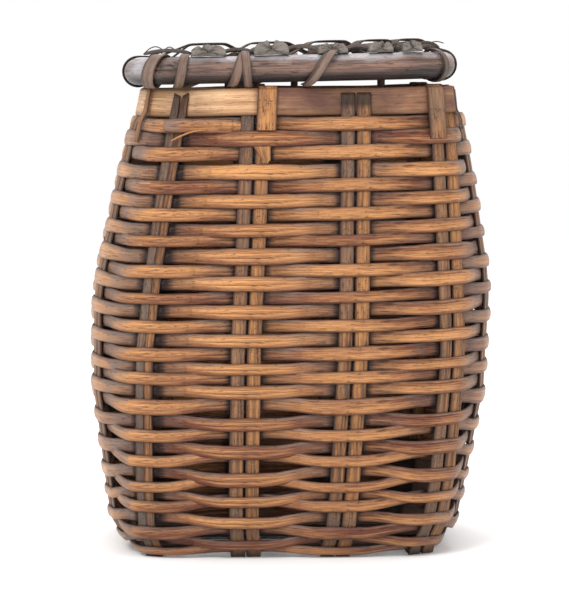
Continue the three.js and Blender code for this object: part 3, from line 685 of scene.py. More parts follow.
def woven_line(height, first_sign, offset):
    """The middle line of a row before it is softened, with the side of the wall it runs on."""
    line, sides = [], []
    room = PAIR_HALF + WOVEN_ROOM
    start, stop = WOVEN_CROSSING
    blends = np.linspace(0, 1, WOVEN_POINTS_BETWEEN + 2)[1:-1]
    for index in range(PAIR_COUNT):
        middle, along, _, outward = pair_frame(index, height)
        sign = first_sign if index % 2 == 0 else -first_sign
        for edge in (-1, -0.5, 0, 0.5, 1):
            line.append(middle + along * edge * room + outward * sign * offset)
            sides.append(sign)
        points, _, _, out = wall_frames(height, index + start + (stop - start) * blends)
        signs = sign * np.cos(math.pi * blends)
        line += list(points + out * (signs * offset)[:, None])
        sides += list(signs)
    return np.array(line), np.array(sides)


def soften(line, values):
    """A closed line drawn again in even steps, with its corners eased."""
    closed = np.vstack([line, line[:1]])
    length = running_length(closed)
    fine = np.linspace(0, length[-1], int(length[-1] / EVEN_STEP), endpoint=False)
    wave = np.fft.rfftfreq(len(fine), length[-1] / len(fine))
    keep = np.exp(-2 * (math.pi * wave * SOFT_WIDTH) ** 2)
    eased = []
    for column in np.column_stack([closed, np.append(values, values[0])]).T:
        even = np.interp(fine, length, column)
        eased.append(np.fft.irfft(np.fft.rfft(even) * keep, len(fine)))
    eased = np.array(eased).T
    stations = int(length[-1] / STATION_STEP)
    picks = np.round(np.linspace(0, len(fine), stations, endpoint=False)).astype(int)
    return eased[picks, :3], eased[picks, 3]


def ring_directions(points, height):
    """Directions up and out at the stations of a closed row."""
    along = unit(np.roll(points, -1, axis=0) - np.roll(points, 1, axis=0))
    turns = np.linspace(0, PAIR_COUNT, 8 * PAIR_COUNT + 1, endpoint=False)
    base = wall_points(height, turns)
    closest = np.argmin(np.linalg.norm(points[:, None, :2] - base[None, :, :2], axis=2), axis=1)
    above = wall_points(min(height + HEIGHT_STEP, WALL_HEIGHT), turns)
    rise = unit(above - wall_points(height - HEIGHT_STEP, turns))[closest]
    outward = unit(np.cross(along, rise))
    return unit(np.cross(outward, along)), outward


def golden(points):
    """How golden the splints are: most at the upper left, least at the foot and on the right."""
    share = points[:, 2] / WALL_HEIGHT
    across = points[:, 0] / BELLY_HALF_WIDTH
    return 0.5 + 0.34 * (share - 0.45) - 0.3 * across


def row_tones(row, points, sides, slow, quick):
    """A row is golden on its humps and grey in its hollows and at the corners, where the bend has
    scraped a paler patch. Some rows are more golden and some redder than the others."""
    dice = np.random.default_rng(500 + row)
    half_width, half_depth, _, _ = wall_at(row_height(row))
    across = points[:, 0] / half_width
    reach = np.abs(across)
    own = 0.12 * (row + 1 in GOLDEN_ROWS) - 0.15 * (row + 1 in RED_ROWS)
    tone = 0.27 + 0.34 * golden(points) + own + 0.05 * dice.normal() + 0.16 * slow + 0.10 * sides
    scrape = np.exp(-((reach - SCRAPE_PLACE - 0.015 * dice.normal()) / SCRAPE_REACH) ** 2)
    scrape = scrape * dice.uniform(0.2, 1.2)
    scrape = scrape * ramp(reach + np.abs(points[:, 1]) / half_depth, *SCRAPED_CORNER)
    right_face = ramp(across, *RIGHT_FACE)
    age = 0.14 - 0.2 * sides + 0.16 * quick + 0.25 * (0.55 - golden(points))
    age = age + 0.35 * ramp(reach, *CORNER_GREY)
    return {
        "tone": tone + 0.32 * scrape + 0.25 * ramp(-across, *LEFT_FACE) + 0.2 * right_face,
        "age": age + 0.14 * ramp(-across, *LEFT_GREY) + 0.3 * scrape + 0.1 * right_face,
        # Painted shade: a narrow shadow where the row goes behind a pair, and a little in the hollows.
        "shade": np.clip((-sides - 0.93) / 0.06, 0, 0.8) + np.clip(0.05 - 0.2 * sides, 0, 0.22),
    }


def make_row(row):
    """One hoop of weaver. Rows count from the lowest, which comes down to the floor at the back."""
    name = f"weaver_row_{row + 1:02d}"
    height = row_height(row)
    first_sign = 1 if (ROW_COUNT - 1 - row) % 2 == 0 else -1
    points, sides = soften(*woven_line(height, first_sign, ROW_OFFSET))
    rise, outward = ring_directions(points, height)
    count = len(points)
    slow = smooth_wander(count, 12, 100 + row)
    quick = smooth_wander(count, 60, 200 + row)
    at_back = ramp(points[:, 1], -BACK_FADE, BACK_FADE)
    sagging = np.interp(row, *SAGS) * MM * (1 - BACK_SAG_LOSS * at_back)
    to_right = ramp(points[:, 0] / BELLY_HALF_WIDTH, *RISE_TO_RIGHT)
    to_left = ramp(-points[:, 0] / wall_at(height)[0], *RISE_TO_LEFT)
    rises = np.interp(row, *ROW_RISES) * (to_right + LEFT_RISE_SHARE * to_left)
    drift = SLOW_DRIFT * slow + QUICK_DRIFT * quick - sagging * np.clip(sides, -1, 1)
    drift = drift + (ROW_SHIFTS[row] + rises) * MM * (1 - at_back)
    if row == 0:
        drift = np.maximum(drift, LOWEST_DRIFT) - BACK_SETTLING * at_back
    points = points + rise * drift[:, None]

    on_hump = np.clip(0.5 + sides / 2, 0, 1) * (1 - at_back)
    back_width = BACK_FOOT_WIDTH if row < BACK_FOOT_ROWS else BACK_WIDTH
    hollow_width = row_width(row) * np.where(at_back > 0.5, back_width, FRONT_HOLLOW_WIDTH)
    swell = 1 - ROW_SWELL_SHARE * (1 - sides ** 2) + ROW_WIDTH_WAVER * quick
    half = (ROW_FRONT_WIDTHS[row] * MM * on_hump + hollow_width * (1 - on_hump)) * swell / 2
    if row == 0:
        down_to_floor = (points[:, 2] - FLOOR_ROOM) / rise[:, 2]
        half = np.minimum(half * (1 + BACK_SETTLED_SWELL * at_back), down_to_floor)
    across = rise + outward * (ROW_TWIST * smooth_wander(count, 16, 300 + row))[:, None]
    tones = row_tones(row, points, sides, slow, quick)
    piece = splint_mesh(
        name, lean(points), across, outward, half, ROW_THICKNESS / 2, CROWN_SECTION, True, tones, row_finish
    )
    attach(piece, "basket")
    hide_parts(name)


for row in range(ROW_COUNT):
    make_row(row)

# Rim band. One wide flat splint, woven as the last row, golden on the left of its overlap and redder
# on the right. The folded members of some pairs turn down over it and hold it.
RIM_BAND_GAP = 3.2 * MM
RIM_BAND_WIDTH = 22.5 * MM
BAND_BOTTOM = TOP_ROW_HEIGHT + row_width(ROW_COUNT - 1) / 2 + RIM_BAND_GAP
BAND_TOP = BAND_BOTTOM + RIM_BAND_WIDTH
BAND_HEIGHT = (BAND_BOTTOM + BAND_TOP) / 2
OVERLAP_PAIR = 1
OVERLAP_BLUR = 2 * MM
BAND_FULLNESS = 0.985
BAND_WAVER = 0.012
BAND_THINNING = 0.98

rim_finish = splint_finish(
    "rim_wood", fresh=paint(208, 168, 126), deep=paint(150, 104, 68), aged=paint(90, 57, 46),
    gloss=0.34, pores=0.6, relief=0.5, fibres=(26, 620),
)
points, sides = soften(*woven_line(BAND_HEIGHT, -1, BAND_OFFSET))
rise, outward = ring_directions(points, BAND_HEIGHT)
overlap_x = pair_places(BAND_HEIGHT)[OVERLAP_PAIR][0]
right_of_overlap = 1 / (1 + np.exp(-(points[:, 0] - overlap_x) / OVERLAP_BLUR))
band_wave = smooth_wander(len(points), 14, 71)
band_tones = {
    "tone": 0.59 - 0.33 * right_of_overlap + 0.07 * band_wave,
    "age": 0.02 + 0.8 * right_of_overlap + 0.08 * band_wave,
    # Painted shade in the band's hollows.
    "shade": np.clip(0.05 - 0.2 * sides, 0, 0.35),
}
rim_band = splint_mesh(
    "rim_band", lean(points), rise, outward, RIM_BAND_WIDTH / 2 * (BAND_FULLNESS + BAND_WAVER * band_wave),
    RIM_BAND_THICKNESS / 2 * BAND_THINNING, FLAT_SECTION, True, band_tones, rim_finish,
)
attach(rim_band, "basket")
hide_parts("rim_band")

# Free ends near the rim. The cut end where the top row begins lies over the row, and a thin splinter
# has lifted from the weave beside it. Both are the rows' own wood. Turns count the pairs round the
# wall, and heights and offsets from the wall are in millimetres.
ROW_END_STATIONS = 46
ROW_END_TURNS = (-0.13, 0.91)
ROW_END_HEIGHTS = (352.3, 351.8)
ROW_END_OFFSETS = ((-0.13, 0.15, 0.5, 0.75, 0.91), (5.6, 5.3, 3.4, 0.9, -1.6))
ROW_END_AGES = ((-0.13, -0.02, 0.15), (1.0, 0.8, 0.15))
ROW_END_HALF_WIDTH = 5.9 * MM
ROW_END_HALF_THICKNESS = 1.05 * MM
SPLINTER_STATIONS = 30
SPLINTER_TURNS = (-0.02, 0.42)
SPLINTER_HEIGHT = 340
SPLINTER_LIFT = 8.5
SPLINTER_OFFSET = 4.6
SPLINTER_BOW = 2.2
SPLINTER_HALF_WIDTH = 0.9 * MM
SPLINTER_HALF_THICKNESS = 0.5 * MM
TAPER_QUICKNESS = 6


def follow_wall(turns, heights, offsets, standing=False):
    """Stations of a short splint laid on the wall: its turns, and its heights and offsets in mm."""
    points, across, outs = [], [], []
    for turn, height, offset in np.broadcast(turns, heights, offsets):
        place, along, rise, out = wall_frames(height * MM, [turn])
        points.append(place[0] + out[0] * offset * MM)
        across.append(along[0] if standing else rise[0])
        outs.append(out[0])
    return np.array(points), np.array(across), np.array(outs)


def taper(count, start, end, power=0.5):
    """Widths that grow from a share at the start and shrink to a share at the end."""
    place = np.linspace(0, 1, count) * TAPER_QUICKNESS
    rising = start + (1 - start) * np.minimum(1, place) ** power
    falling = end + (1 - end) * np.minimum(1, place[::-1]) ** power
    return np.minimum(rising, falling)


def loose_splint(name, stations, half_width, half_thick, section, tones, finish):
    """A short splint on the wall, with no solid of its own."""
    points, across, outs = stations
    piece = splint_mesh(
        name, lean(points), across, outs, half_width, half_thick, section, False, tones, finish
    )
    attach(piece, "basket")


turns = np.linspace(*ROW_END_TURNS, ROW_END_STATIONS)
heights = np.linspace(*ROW_END_HEIGHTS, ROW_END_STATIONS)
row_end_tones = {
    "tone": np.linspace(0.52, 0.62, ROW_END_STATIONS),
    "age": np.interp(turns, *ROW_END_AGES),
    "shade": 0.0,
}
loose_splint(
    "top_row_end", follow_wall(turns, heights, np.interp(turns, *ROW_END_OFFSETS)),
    ROW_END_HALF_WIDTH * taper(ROW_END_STATIONS, 0.78, 0.5),
    ROW_END_HALF_THICKNESS * taper(ROW_END_STATIONS, 1, 0.4),
    CROWN_SECTION, row_end_tones, row_finish,
)
turns = np.linspace(*SPLINTER_TURNS, SPLINTER_STATIONS)
swing = np.linspace(0, 1, SPLINTER_STATIONS)
heights = SPLINTER_HEIGHT + SPLINTER_LIFT * np.sin(1.75 * swing)
loose_splint(
    "loose_splinter", follow_wall(turns, heights, SPLINTER_OFFSET + SPLINTER_BOW * np.sin(math.pi * swing)),
    SPLINTER_HALF_WIDTH * taper(SPLINTER_STATIONS, 0.2, 0.2), SPLINTER_HALF_THICKNESS,
    CROWN_SECTION, {"tone": 0.68, "age": 0.05, "shade": 0.0}, row_finish,
)

# Ends of uprights near the rim. The folded splint of the second front pair goes on behind the row
# below and ends in a slanted point, a narrow pale end stands at the rim's left corner, and at the
# right corner a folded splint has torn into a tuft of dark fibres.
POINT_TOP = 337
POINT_LENGTH = 15
POINT_OFFSET = 1.75
POINT_SIDE = 6.5
POINT_SLANT = 3.2
POINT_HALF_WIDTH = 7.6 * MM
POINT_HALF_THICKNESS = 0.4 * MM
POINT_NARROWING = 0.62
CORNER_END_TURN = -0.5
CORNER_END_TOP = 383
CORNER_END_LENGTH = 44
CORNER_END_OFFSET = 4.2
CORNER_END_HALF_WIDTH = 2.8 * MM
CORNER_END_HALF_THICKNESS = 0.9 * MM
END_STATIONS = 12
TORN_FIBRES = 9
TORN_STATIONS = 10
TORN_TURN = 3.26
TORN_TURN_STEP = 0.02
TORN_TOP = 381
TORN_OFFSET = 4.3
TORN_OFFSET_STEP = 0.3
TORN_SWAY = 0.03
TORN_TOP_SPREAD = 5
TORN_LENGTHS = (18, 34)
TORN_HALF_WIDTHS = (0.5, 1.0)
TORN_HALF_THICKNESS = 0.4 * MM
THREAD_SECTION = ((-1, 0), (-0.5, 0.87), (0.5, 0.87), (1, 0), (0.5, -0.87), (-0.5, -0.87))

down = np.linspace(0, 1, END_STATIONS)
points, across, outs = follow_wall(1.0, POINT_TOP - POINT_LENGTH * down, POINT_OFFSET, standing=True)
points = points + across * (POINT_SIDE + POINT_SLANT * down)[:, None] * MM
loose_splint(
    "fold_point", (points, across, outs), POINT_HALF_WIDTH * (1 - POINT_NARROWING * down),
    POINT_HALF_THICKNESS, FLAT_SECTION, {"tone": 0.66, "age": 0.05, "shade": 0.0},
    upright_finish,
)
heights = CORNER_END_TOP - CORNER_END_LENGTH * down
loose_splint(
    "rim_corner_splint", follow_wall(CORNER_END_TURN, heights, CORNER_END_OFFSET, standing=True),
    CORNER_END_HALF_WIDTH * taper(END_STATIONS, 0.8, 0.7), CORNER_END_HALF_THICKNESS,
    FLAT_SECTION, {"tone": 0.6, "age": 0.3, "shade": 0.0}, upright_finish,
)
dice = np.random.default_rng(77)
down = np.linspace(0, 1, TORN_STATIONS)
for fibre in range(TORN_FIBRES):
    turns = TORN_TURN + TORN_TURN_STEP * fibre + TORN_SWAY * dice.normal() * down
    heights = TORN_TOP - dice.uniform(0, TORN_TOP_SPREAD) - dice.uniform(*TORN_LENGTHS) * down
    offset = TORN_OFFSET + TORN_OFFSET_STEP * (fibre % 3)
    loose_splint(
        f"torn_fibre_{fibre + 1}", follow_wall(turns, heights, offset, standing=True),
        dice.uniform(*TORN_HALF_WIDTHS) * MM * taper(TORN_STATIONS, 0.3, 0.2),
        TORN_HALF_THICKNESS, THREAD_SECTION,
        {"tone": dice.uniform(0.2, 0.5), "age": 0.3, "shade": dice.uniform(0.1, 0.6)},
        upright_finish,
    )

# Lid hoop. A round rod bent into a rectangle with round corners. Its bark is worn off, and it is
# warm brown along the middle, with a painted bluish grey highlight on top, painted shade almost black
# below and a pale worn corner at the front left.
LID_ROD_RADIUS = 11 * MM
LID_CORNER_RADIUS = 28 * MM
LID_INSET = 1 * MM
LID_GAP = 4.4 * MM
LID_RISE = 5.5 * MM
LID_HALF_WIDTH = BELLY_HALF_WIDTH * SWELL_SHARES[1][-1] - LID_INSET
LID_HALF_DEPTH = BELLY_HALF_DEPTH * SWELL_SHARES[1][-1]
LID_HEIGHT = BAND_TOP + LID_ROD_RADIUS + LID_GAP
LID_SHIFT = -1.5 * MM
LID_TILT = math.atan(LID_RISE / (2 * LID_HALF_WIDTH))
CORNER_POINTS = 13
ROD_SIDES = 28
ROD_STEP = 3 * MM
ROD_WAVER = 0.4 * MM
ROD_HEIGHT_SHARE = 0.985
ROD_DEPTH_SHARE = 0.98
ROD_UNEVENNESS = 0.015
WORN_CORNER = (-118 * MM, -92 * MM, 0)
WORN_CORNER_REACH = 13 * MM
SCAR_X = -98 * MM
SCAR_REACH = 9 * MM
UP = np.array([0, 0, 1.0])


def place_on_lid(points):
    """From the lid's own level to its place on the basket, tilted up a little to the right."""
    placed = points.copy()
    placed[:, 0] = points[:, 0] * math.cos(LID_TILT) - points[:, 2] * math.sin(LID_TILT) + LID_SHIFT
    placed[:, 2] = points[:, 0] * math.sin(LID_TILT) + points[:, 2] * math.cos(LID_TILT) + LID_HEIGHT
    return placed


def hoop_line():
    """The rod's middle line, from the middle of the front to the right and all the way round."""
    wide, deep = LID_HALF_WIDTH - LID_CORNER_RADIUS, LID_HALF_DEPTH - LID_CORNER_RADIUS
    corners = [(0, -LID_HALF_DEPTH)]
    for quarter, (side_x, side_y) in enumerate(((1, -1), (1, 1), (-1, 1), (-1, -1))):
        for share in np.linspace(0, 1, CORNER_POINTS):
            angle = math.pi / 2 * (quarter - 1 + share)
            x = side_x * wide + LID_CORNER_RADIUS * math.cos(angle)
            corners.append((x, side_y * deep + LID_CORNER_RADIUS * math.sin(angle)))
    closed = np.array(corners + corners[:1])
    length = running_length(closed)
    even = np.linspace(0, length[-1], int(length[-1] / ROD_STEP), endpoint=False)
    x, y = np.interp(even, length, closed[:, 0]), np.interp(even, length, closed[:, 1])
    return np.stack([x, y, np.zeros(len(x))], axis=1), length[-1]


def near(values, middle, reach):
    """1 at the middle, and less and less away from it."""
    return np.exp(-((values - middle) / reach) ** 2)


# The aged colour is the pale bluish grey of the painted top highlight and of the worn corner.
rod_finish = splint_finish(
    "rod_bark", fresh=paint(138, 106, 92), deep=paint(36, 29, 29), aged=paint(166, 164, 168),
    gloss=0.28, pores=0.8, relief=0.7, fibres=(30, 420),
)
rod_line, rod_length = hoop_line()
rod_along = unit(np.roll(rod_line, -1, axis=0) - np.roll(rod_line, 1, axis=0))
rod_out = np.cross(rod_along, UP)
rod_count = len(rod_line)
rod_turns = np.linspace(0, 2 * math.pi, ROD_SIDES, endpoint=False)
rod_up, rod_outer = np.cos(rod_turns)[None, :], np.sin(rod_turns)[None, :]
rod_wave = smooth_wander(rod_count, 26, 81)
# A painted highlight turns the top of the rod pale bluish grey, carried in its age.
painted_top_highlight = np.clip((rod_up - 0.3) * 1.6, 0, 0.8) * (0.8 + 0.25 * rod_wave[:, None])
worn_corner = near(np.linalg.norm(rod_line - WORN_CORNER, axis=1), 0, WORN_CORNER_REACH)
scar = near(rod_line[:, 0], SCAR_X, SCAR_REACH) * (rod_line[:, 1] < 0)
scar = scar[:, None] * near(rod_up, 0.45, 0.5) * (rod_outer > 0)
dark_specks = np.random.default_rng(84).uniform(0, 1.3, scar.shape)
rod_tones = {
    "tone": 0.5 + 0.2 * rod_wave,
    "age": np.maximum(painted_top_highlight, 0.85 * worn_corner[:, None]) * (1 - np.clip(1.6 * scar, 0, 1)),
    # Painted shade makes the underside almost black; the scar adds dark specks of its own.
    "shade": np.clip((0.02 - rod_up) * 1.4, 0, 0.92) + scar * dark_specks,
    "edge": 0.0,
}
rod_middle = rod_line + rod_out * (ROD_WAVER * smooth_wander(rod_count, 9, 82))[:, None]
rod = splint_mesh(
    "lid_hoop", place_on_lid(rod_middle), np.tile(UP, (rod_count, 1)), rod_out,
    LID_ROD_RADIUS * (ROD_HEIGHT_SHARE + ROD_UNEVENNESS * rod_wave),
    LID_ROD_RADIUS * (ROD_DEPTH_SHARE + ROD_UNEVENNESS * smooth_wander(rod_count, 20, 83)),
    np.vstack([rod_up, rod_outer]).T, True, rod_tones, rod_finish,
)
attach(rod, "lid")
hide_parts("lid_hoop")

# Lid ribs. Five half-round pieces of split wood lie across the front and rear rods, flat side down.
# They are grey and fluted, and their sawn ends at the front are rough, fibrous and cracked.
RIB_PLACE_SHARES = (-0.534, -0.125, 0.272, 0.584, 0.791)
RIB_WIDTHS = (28, 28, 24, 20, 16)
RIB_THICKNESS = 9 * MM
RIB_BOTTOM = LID_ROD_RADIUS + FIT_GAP
RIB_HALF_LENGTH = LID_HALF_DEPTH + 6 * MM
RIB_STATIONS = 49
RIB_MIDDLE_SHARE = 0.35
ARCH_POINTS = 30
FLAT_POINTS = 10
FLAT_ROUGHNESS = 0.25 * MM
RIB_CRACKS = ((0.36, 0.06), (0.5, 0.1), (0.47, 0.13), (0.6, 0.05), (0.4, 0.05))
CRACK_DEPTH_SHARE = 0.42
RIB_FLARES = (0.12, 0.42, 0.08, 0.14, 0.12)
RIB_FLARE_LENGTH = 10 * MM
SAWN_INSETS = (0.12, 0.4, 0.7, 0.93)
SAWN_ROUGHNESS = 1.3 * MM
SHARP_EDGE = math.radians(40)

rib_finish = splint_finish(
    "rib_wood", fresh=paint(104, 93, 84), deep=paint(34, 29, 26), aged=paint(122, 114, 107),
    gloss=0.6, pores=0.7, relief=0.8, fibres=(26, 700),
)


def rib_outline(width, dice, crack):
    """The arch of a rib's end, with a ragged edge and one dark crack part way through."""
    place, spread = crack
    arch = np.linspace(0, 1, ARCH_POINTS)
    bow = np.sin(math.pi * arch)
    ragged = smooth_wander(2 * ARCH_POINTS, 14, int(1000 * place + width / MM))[:ARCH_POINTS]
    z = RIB_THICKNESS * bow ** 0.5 * (0.93 - 0.05 * dice.random(ARCH_POINTS) + 0.07 * ragged * bow)
    z = z - CRACK_DEPTH_SHARE * RIB_THICKNESS * near(arch, place, 0.35 * spread)
    x = -width / 2 * np.cos(math.pi * arch) * (1 + 0.03 * np.roll(ragged, 7))
    flat_x = np.linspace(width / 2, -width / 2, FLAT_POINTS + 2)[1:-1]
    flat = np.stack([flat_x, FLAT_ROUGHNESS * dice.random(FLAT_POINTS)], axis=1)
    return np.vstack([np.stack([x, z], axis=1), flat])


def make_rib(order):
    """One rib, as rings from its front end to its back end, the sawn faces drawn in towards a middle."""
    name = f"lid_rib_{order + 1}"
    dice = np.random.default_rng(900 + order)
    place = RIB_PLACE_SHARES[order] * LID_HALF_WIDTH
    crack = RIB_CRACKS[order]
    outline = rib_outline(RIB_WIDTHS[order] * MM, dice, crack)
    sides = len(outline)
    middle = np.array([0, RIB_THICKNESS * RIB_MIDDLE_SHARE])
    near_crack = near(np.arange(sides) / (ARCH_POINTS - 1), crack[0], 0.05)
    # The flat underside is darkened with painted shade.
    underside_shade = np.where(outline[:, 1] < 0.5 * MM, 0.3, 0)
    runs = np.linspace(-RIB_HALF_LENGTH, RIB_HALF_LENGTH, RIB_STATIONS)
    rings = [(-RIB_HALF_LENGTH, inset, True) for inset in SAWN_INSETS]
    rings += [(run, 1.0, run in (runs[0], runs[-1])) for run in runs]
    rings += [(RIB_HALF_LENGTH, inset, True) for inset in reversed(SAWN_INSETS)]
    count = len(rings)
    flutes = np.array([smooth_wander(count, 5, 950 + order * 50 + point) for point in range(sides)])
    verts, age, shade, lay = [], [], [], []
    around = running_length(outline)
    for ring, (run, inset, at_end) in enumerate(rings):
        sawn = inset < 1
        shape = middle + (outline - middle) * inset * (1 - 0.02 * np.abs(flutes[:, ring]))[:, None]
        shape[:, 1] *= 1 + RIB_FLARES[order] * near(run, -RIB_HALF_LENGTH, RIB_FLARE_LENGTH)
        ragged = np.sign(run) * SAWN_ROUGHNESS * (dice.random(sides) - 1) if at_end else np.zeros(sides)
        verts.append(np.stack([place + shape[:, 0], run + ragged, RIB_BOTTOM + shape[:, 1]], axis=1))
        age.append((0.85 if sawn else 0.35) + 0.25 * dice.random(sides))
        shade.append((0.8 if sawn else 0.35) * near_crack + underside_shade)
        lay.append(np.stack([np.full(sides, run + (1 - inset) * 0.02 + order * 0.5), around], axis=1))
    faces = []
    for corner in range((count - 1) * sides):
        other = corner + 1 if (corner + 1) % sides else corner + 1 - sides
        faces.append((corner, other, other + sides, corner + sides))
    faces += [tuple(reversed(range(sides))), tuple(range((count - 1) * sides, count * sides))]
    mesh = bpy.data.meshes.new(name)
    mesh.from_pydata(place_on_lid(np.vstack(verts)).tolist(), [], faces)
    loops = np.empty(len(mesh.loops), dtype=np.int32)
    mesh.loops.foreach_get("vertex_index", loops)
    mesh.uv_layers.new(name="lay").data.foreach_set("uv", np.vstack(lay)[loops].ravel())
    tones = {
        "tone": np.tile(0.5 + 0.1 * dice.normal(size=sides), count),
        "age": np.concatenate(age),
        "shade": np.concatenate(shade),
        "edge": np.zeros(count * sides),
    }
    finish_mesh(mesh, tones, rib_finish)
    mesh.set_sharp_from_angle(angle=SHARP_EDGE)
    rib = add_object(name, mesh)
    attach(rib, "lid")
    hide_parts(name)


for order in range(len(RIB_WIDTHS)):
    make_rib(order)

# Lid strips. Thin strips of cane pass over and under the ribs from one side rod to the other, turn
# round the rod and come back beside themselves. They stand up in little arches over the ribs.
STRIP_WIDTH = 9 * MM
STRIP_NARROWING = 0.97
STRIP_THICKNESS = 1.4 * MM
STRIP_PITCH = 13.4 * MM
STRIP_PASSES = (6, 5)
STRIP_CLEARANCE = 0.8 * MM
STRIP_ARCH = 0.3 * MM
STRIP_WAVER = 0.5 * MM
STRIP_SOFTNESS = 1.6 * MM
STRIP_STEP = 2.4 * MM
RIB_ROOM = 1
WRAP_ANGLE = 1.5 * math.pi
WRAP_STEP = math.radians(15)
WRAP_STRAIGHT = 0.5
WRAP_RADIUS = LID_ROD_RADIUS + STRIP_CLEARANCE + STRIP_THICKNESS / 2
STRIP_OVER = RIB_BOTTOM + RIB_THICKNESS + FIT_GAP + STRIP_THICKNESS / 2
STRIP_UNDER = RIB_BOTTOM - FIT_GAP - STRIP_THICKNESS / 2
EASE_STEP = 0.5 * MM
STRIP_ENDS = (0.9, 0.9)
THIN_SECTION = (
    (-1, 0), (-0.92, 0.7), (-0.5, 1), (0, 0.85), (0.5, 1), (0.92, 0.7), (1, 0), (0.9, -0.9), (0, -1),
    (-0.9, -0.9),
)

cane_finish = splint_finish(
    "cane", fresh=paint(142, 108, 88), deep=paint(54, 40, 33), aged=paint(114, 101, 94),
    gloss=0.4, pores=0.6, relief=0.6, fibres=(38, 1100),
)


def ease_line(points, width, step):
    """An open line drawn again in even steps with its corners eased over a width."""
    points = np.asarray(points, float)
    length = running_length(points)
    fine = np.arange(0, length[-1], EASE_STEP)
    even = np.stack([np.interp(fine, length, column) for column in points.T], axis=1)
    reach = int(3 * width / EASE_STEP)
    bell = np.exp(-0.5 * (np.arange(-reach, reach + 1) * EASE_STEP / width) ** 2)
    before = 2 * even[0] - even[reach:0:-1]
    after = 2 * even[-1] - even[-2:-reach - 2:-1]
    padded = np.vstack([before, even, after])
    eased = np.stack([np.convolve(column, bell / bell.sum(), "valid") for column in padded.T], axis=1)
    picks = np.round(np.linspace(0, len(eased) - 1, max(4, int(length[-1] / step)))).astype(int)
    return eased[picks]


def strip_mesh(name, middles, across_hint, width, thick, tones, ends=STRIP_ENDS):
    """A thin strip along a line, its flat side square to the line and to the direction across it."""
    along = unit(np.gradient(middles, axis=0))
    across_hint = np.asarray(across_hint, float)
    across = unit(across_hint - along * np.sum(across_hint * along, axis=1)[:, None])
    outward = np.cross(along, across)
    half = width / 2 * taper(len(middles), *ends)
    return splint_mesh(
        name, middles, across, outward, half, thick / 2, THIN_SECTION, False, tones, cane_finish
    )


def cane_on_lid(name, points, across_hint, width, thick, tones, ends=STRIP_ENDS):
    strip = strip_mesh(name, place_on_lid(points), across_hint, width, thick, tones, ends)
    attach(strip, "lid")
    return strip


def lid_strip_line(first_pass, pass_count):
    """The middle line of a strip that makes some passes over the lid, the front pass first."""
    points = []
    front = -STRIP_PITCH * (sum(STRIP_PASSES) - 1) / 2
    farthest = LID_HALF_WIDTH - WRAP_RADIUS
    for lap in range(first_pass, first_pass + pass_count):
        heading = 1 if (lap - first_pass) % 2 == 0 else -1
        y = front + lap * STRIP_PITCH
        if lap == first_pass:
            points += [(-farthest, y, 0), (-farthest, y, STRIP_UNDER)]
        for rib in range(len(RIB_WIDTHS))[::heading]:
            over = (rib % 2 == 0) == (lap % 2 == 0)
            for share in (-1, -0.5, 0, 0.5, 1):
                x = RIB_PLACE_SHARES[rib] * LID_HALF_WIDTH
                x += share * heading * (RIB_WIDTHS[rib] / 2 + RIB_ROOM) * MM
                z = STRIP_OVER + STRIP_ARCH * (1 - share * share) if over else STRIP_UNDER
                points.append((max(-farthest, min(farthest, x)), y, z))
        to_next = 0 if lap == first_pass + pass_count - 1 else STRIP_PITCH
        for angle in np.arange(0, WRAP_ANGLE + WRAP_STEP / 2, WRAP_STEP):
            share = ramp(angle, WRAP_STRAIGHT, WRAP_ANGLE - WRAP_STRAIGHT)
            x = heading * (LID_HALF_WIDTH + WRAP_RADIUS * math.sin(angle))
            points.append((x, y + share * share * (3 - 2 * share) * to_next, WRAP_RADIUS * math.cos(angle)))
    return ease_line(points, STRIP_SOFTNESS, STRIP_STEP)


for order, passes in enumerate(STRIP_PASSES):
    line = lid_strip_line(sum(STRIP_PASSES[:order]), passes)
    count = len(line)
    line[:, 1] += STRIP_WAVER * smooth_wander(count, 60, 150 + order)
    strip_tones = {
        "tone": 0.5 + 0.14 * smooth_wander(count, 80, 140 + order),
        "age": 0.45 + 0.3 * smooth_wander(count, 40, 160 + order),
        "shade": 0.05,
    }
    width = STRIP_WIDTH * STRIP_NARROWING
    strip = cane_on_lid(f"lid_weaver_{order + 1}", line, (0, 1, 0), width, STRIP_THICKNESS, strip_tones)
    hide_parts(f"lid_weaver_{order + 1}")

# Lashing. A strip of the same cane winds round the front rod between the ribs, with a second strand
# beside one of its turns and a loose end beside another. Single turns bind the two front corners.
LASH_THINNING = 0.9
LASH_STATIONS = 18
LASH_TURN_STATIONS = 12
QUARTER = math.pi / 2
LASH_FROM_RIB = 4 * MM
LASH_FROM_MIDDLE = 4.5 * MM
LAST_LASH_TOP = 35 * MM
LASH_SLANTS = (8 * MM, 13 * MM, 25 * MM)
LASH_CLEARANCE = 0.6
LASH_WIDTH = 8


def rod_place(place):
    """The rod's middle, its direction and its outer side at a running length from the front."""
    station = (place % rod_length) / rod_length * rod_count
    low = int(math.floor(station)) % rod_count
    high, share = (low + 1) % rod_count, station - math.floor(station)
    middle = rod_line[low] * (1 - share) + rod_line[high] * share
    direction = unit(rod_along[low] * (1 - share) + rod_along[high] * share)
    return middle, direction, np.cross(direction, UP)


def wound_cane(name, places, angles, clearance, width, tone, age, ends=STRIP_ENDS):
    """Cane wound round the rod, its clearance and width in millimetres. Angle 0 is the rod's outer
    side and a quarter turn is its top."""
    points, hints = [], []
    for place, angle, reach in np.broadcast(places, angles, WRAP_RADIUS + np.asarray(clearance) * MM):
        middle, direction, out = rod_place(place)
        points.append(middle + (out * math.cos(angle) + UP * math.sin(angle)) * reach)
        hints.append(direction)
    tones = {"tone": tone + 0.08 * smooth_wander(len(points), 5, len(name)), "age": age, "shade": 0.0}
    thick = STRIP_THICKNESS * LASH_THINNING
    return cane_on_lid(name, np.array(points), np.array(hints), width * MM, thick, tones, ends)


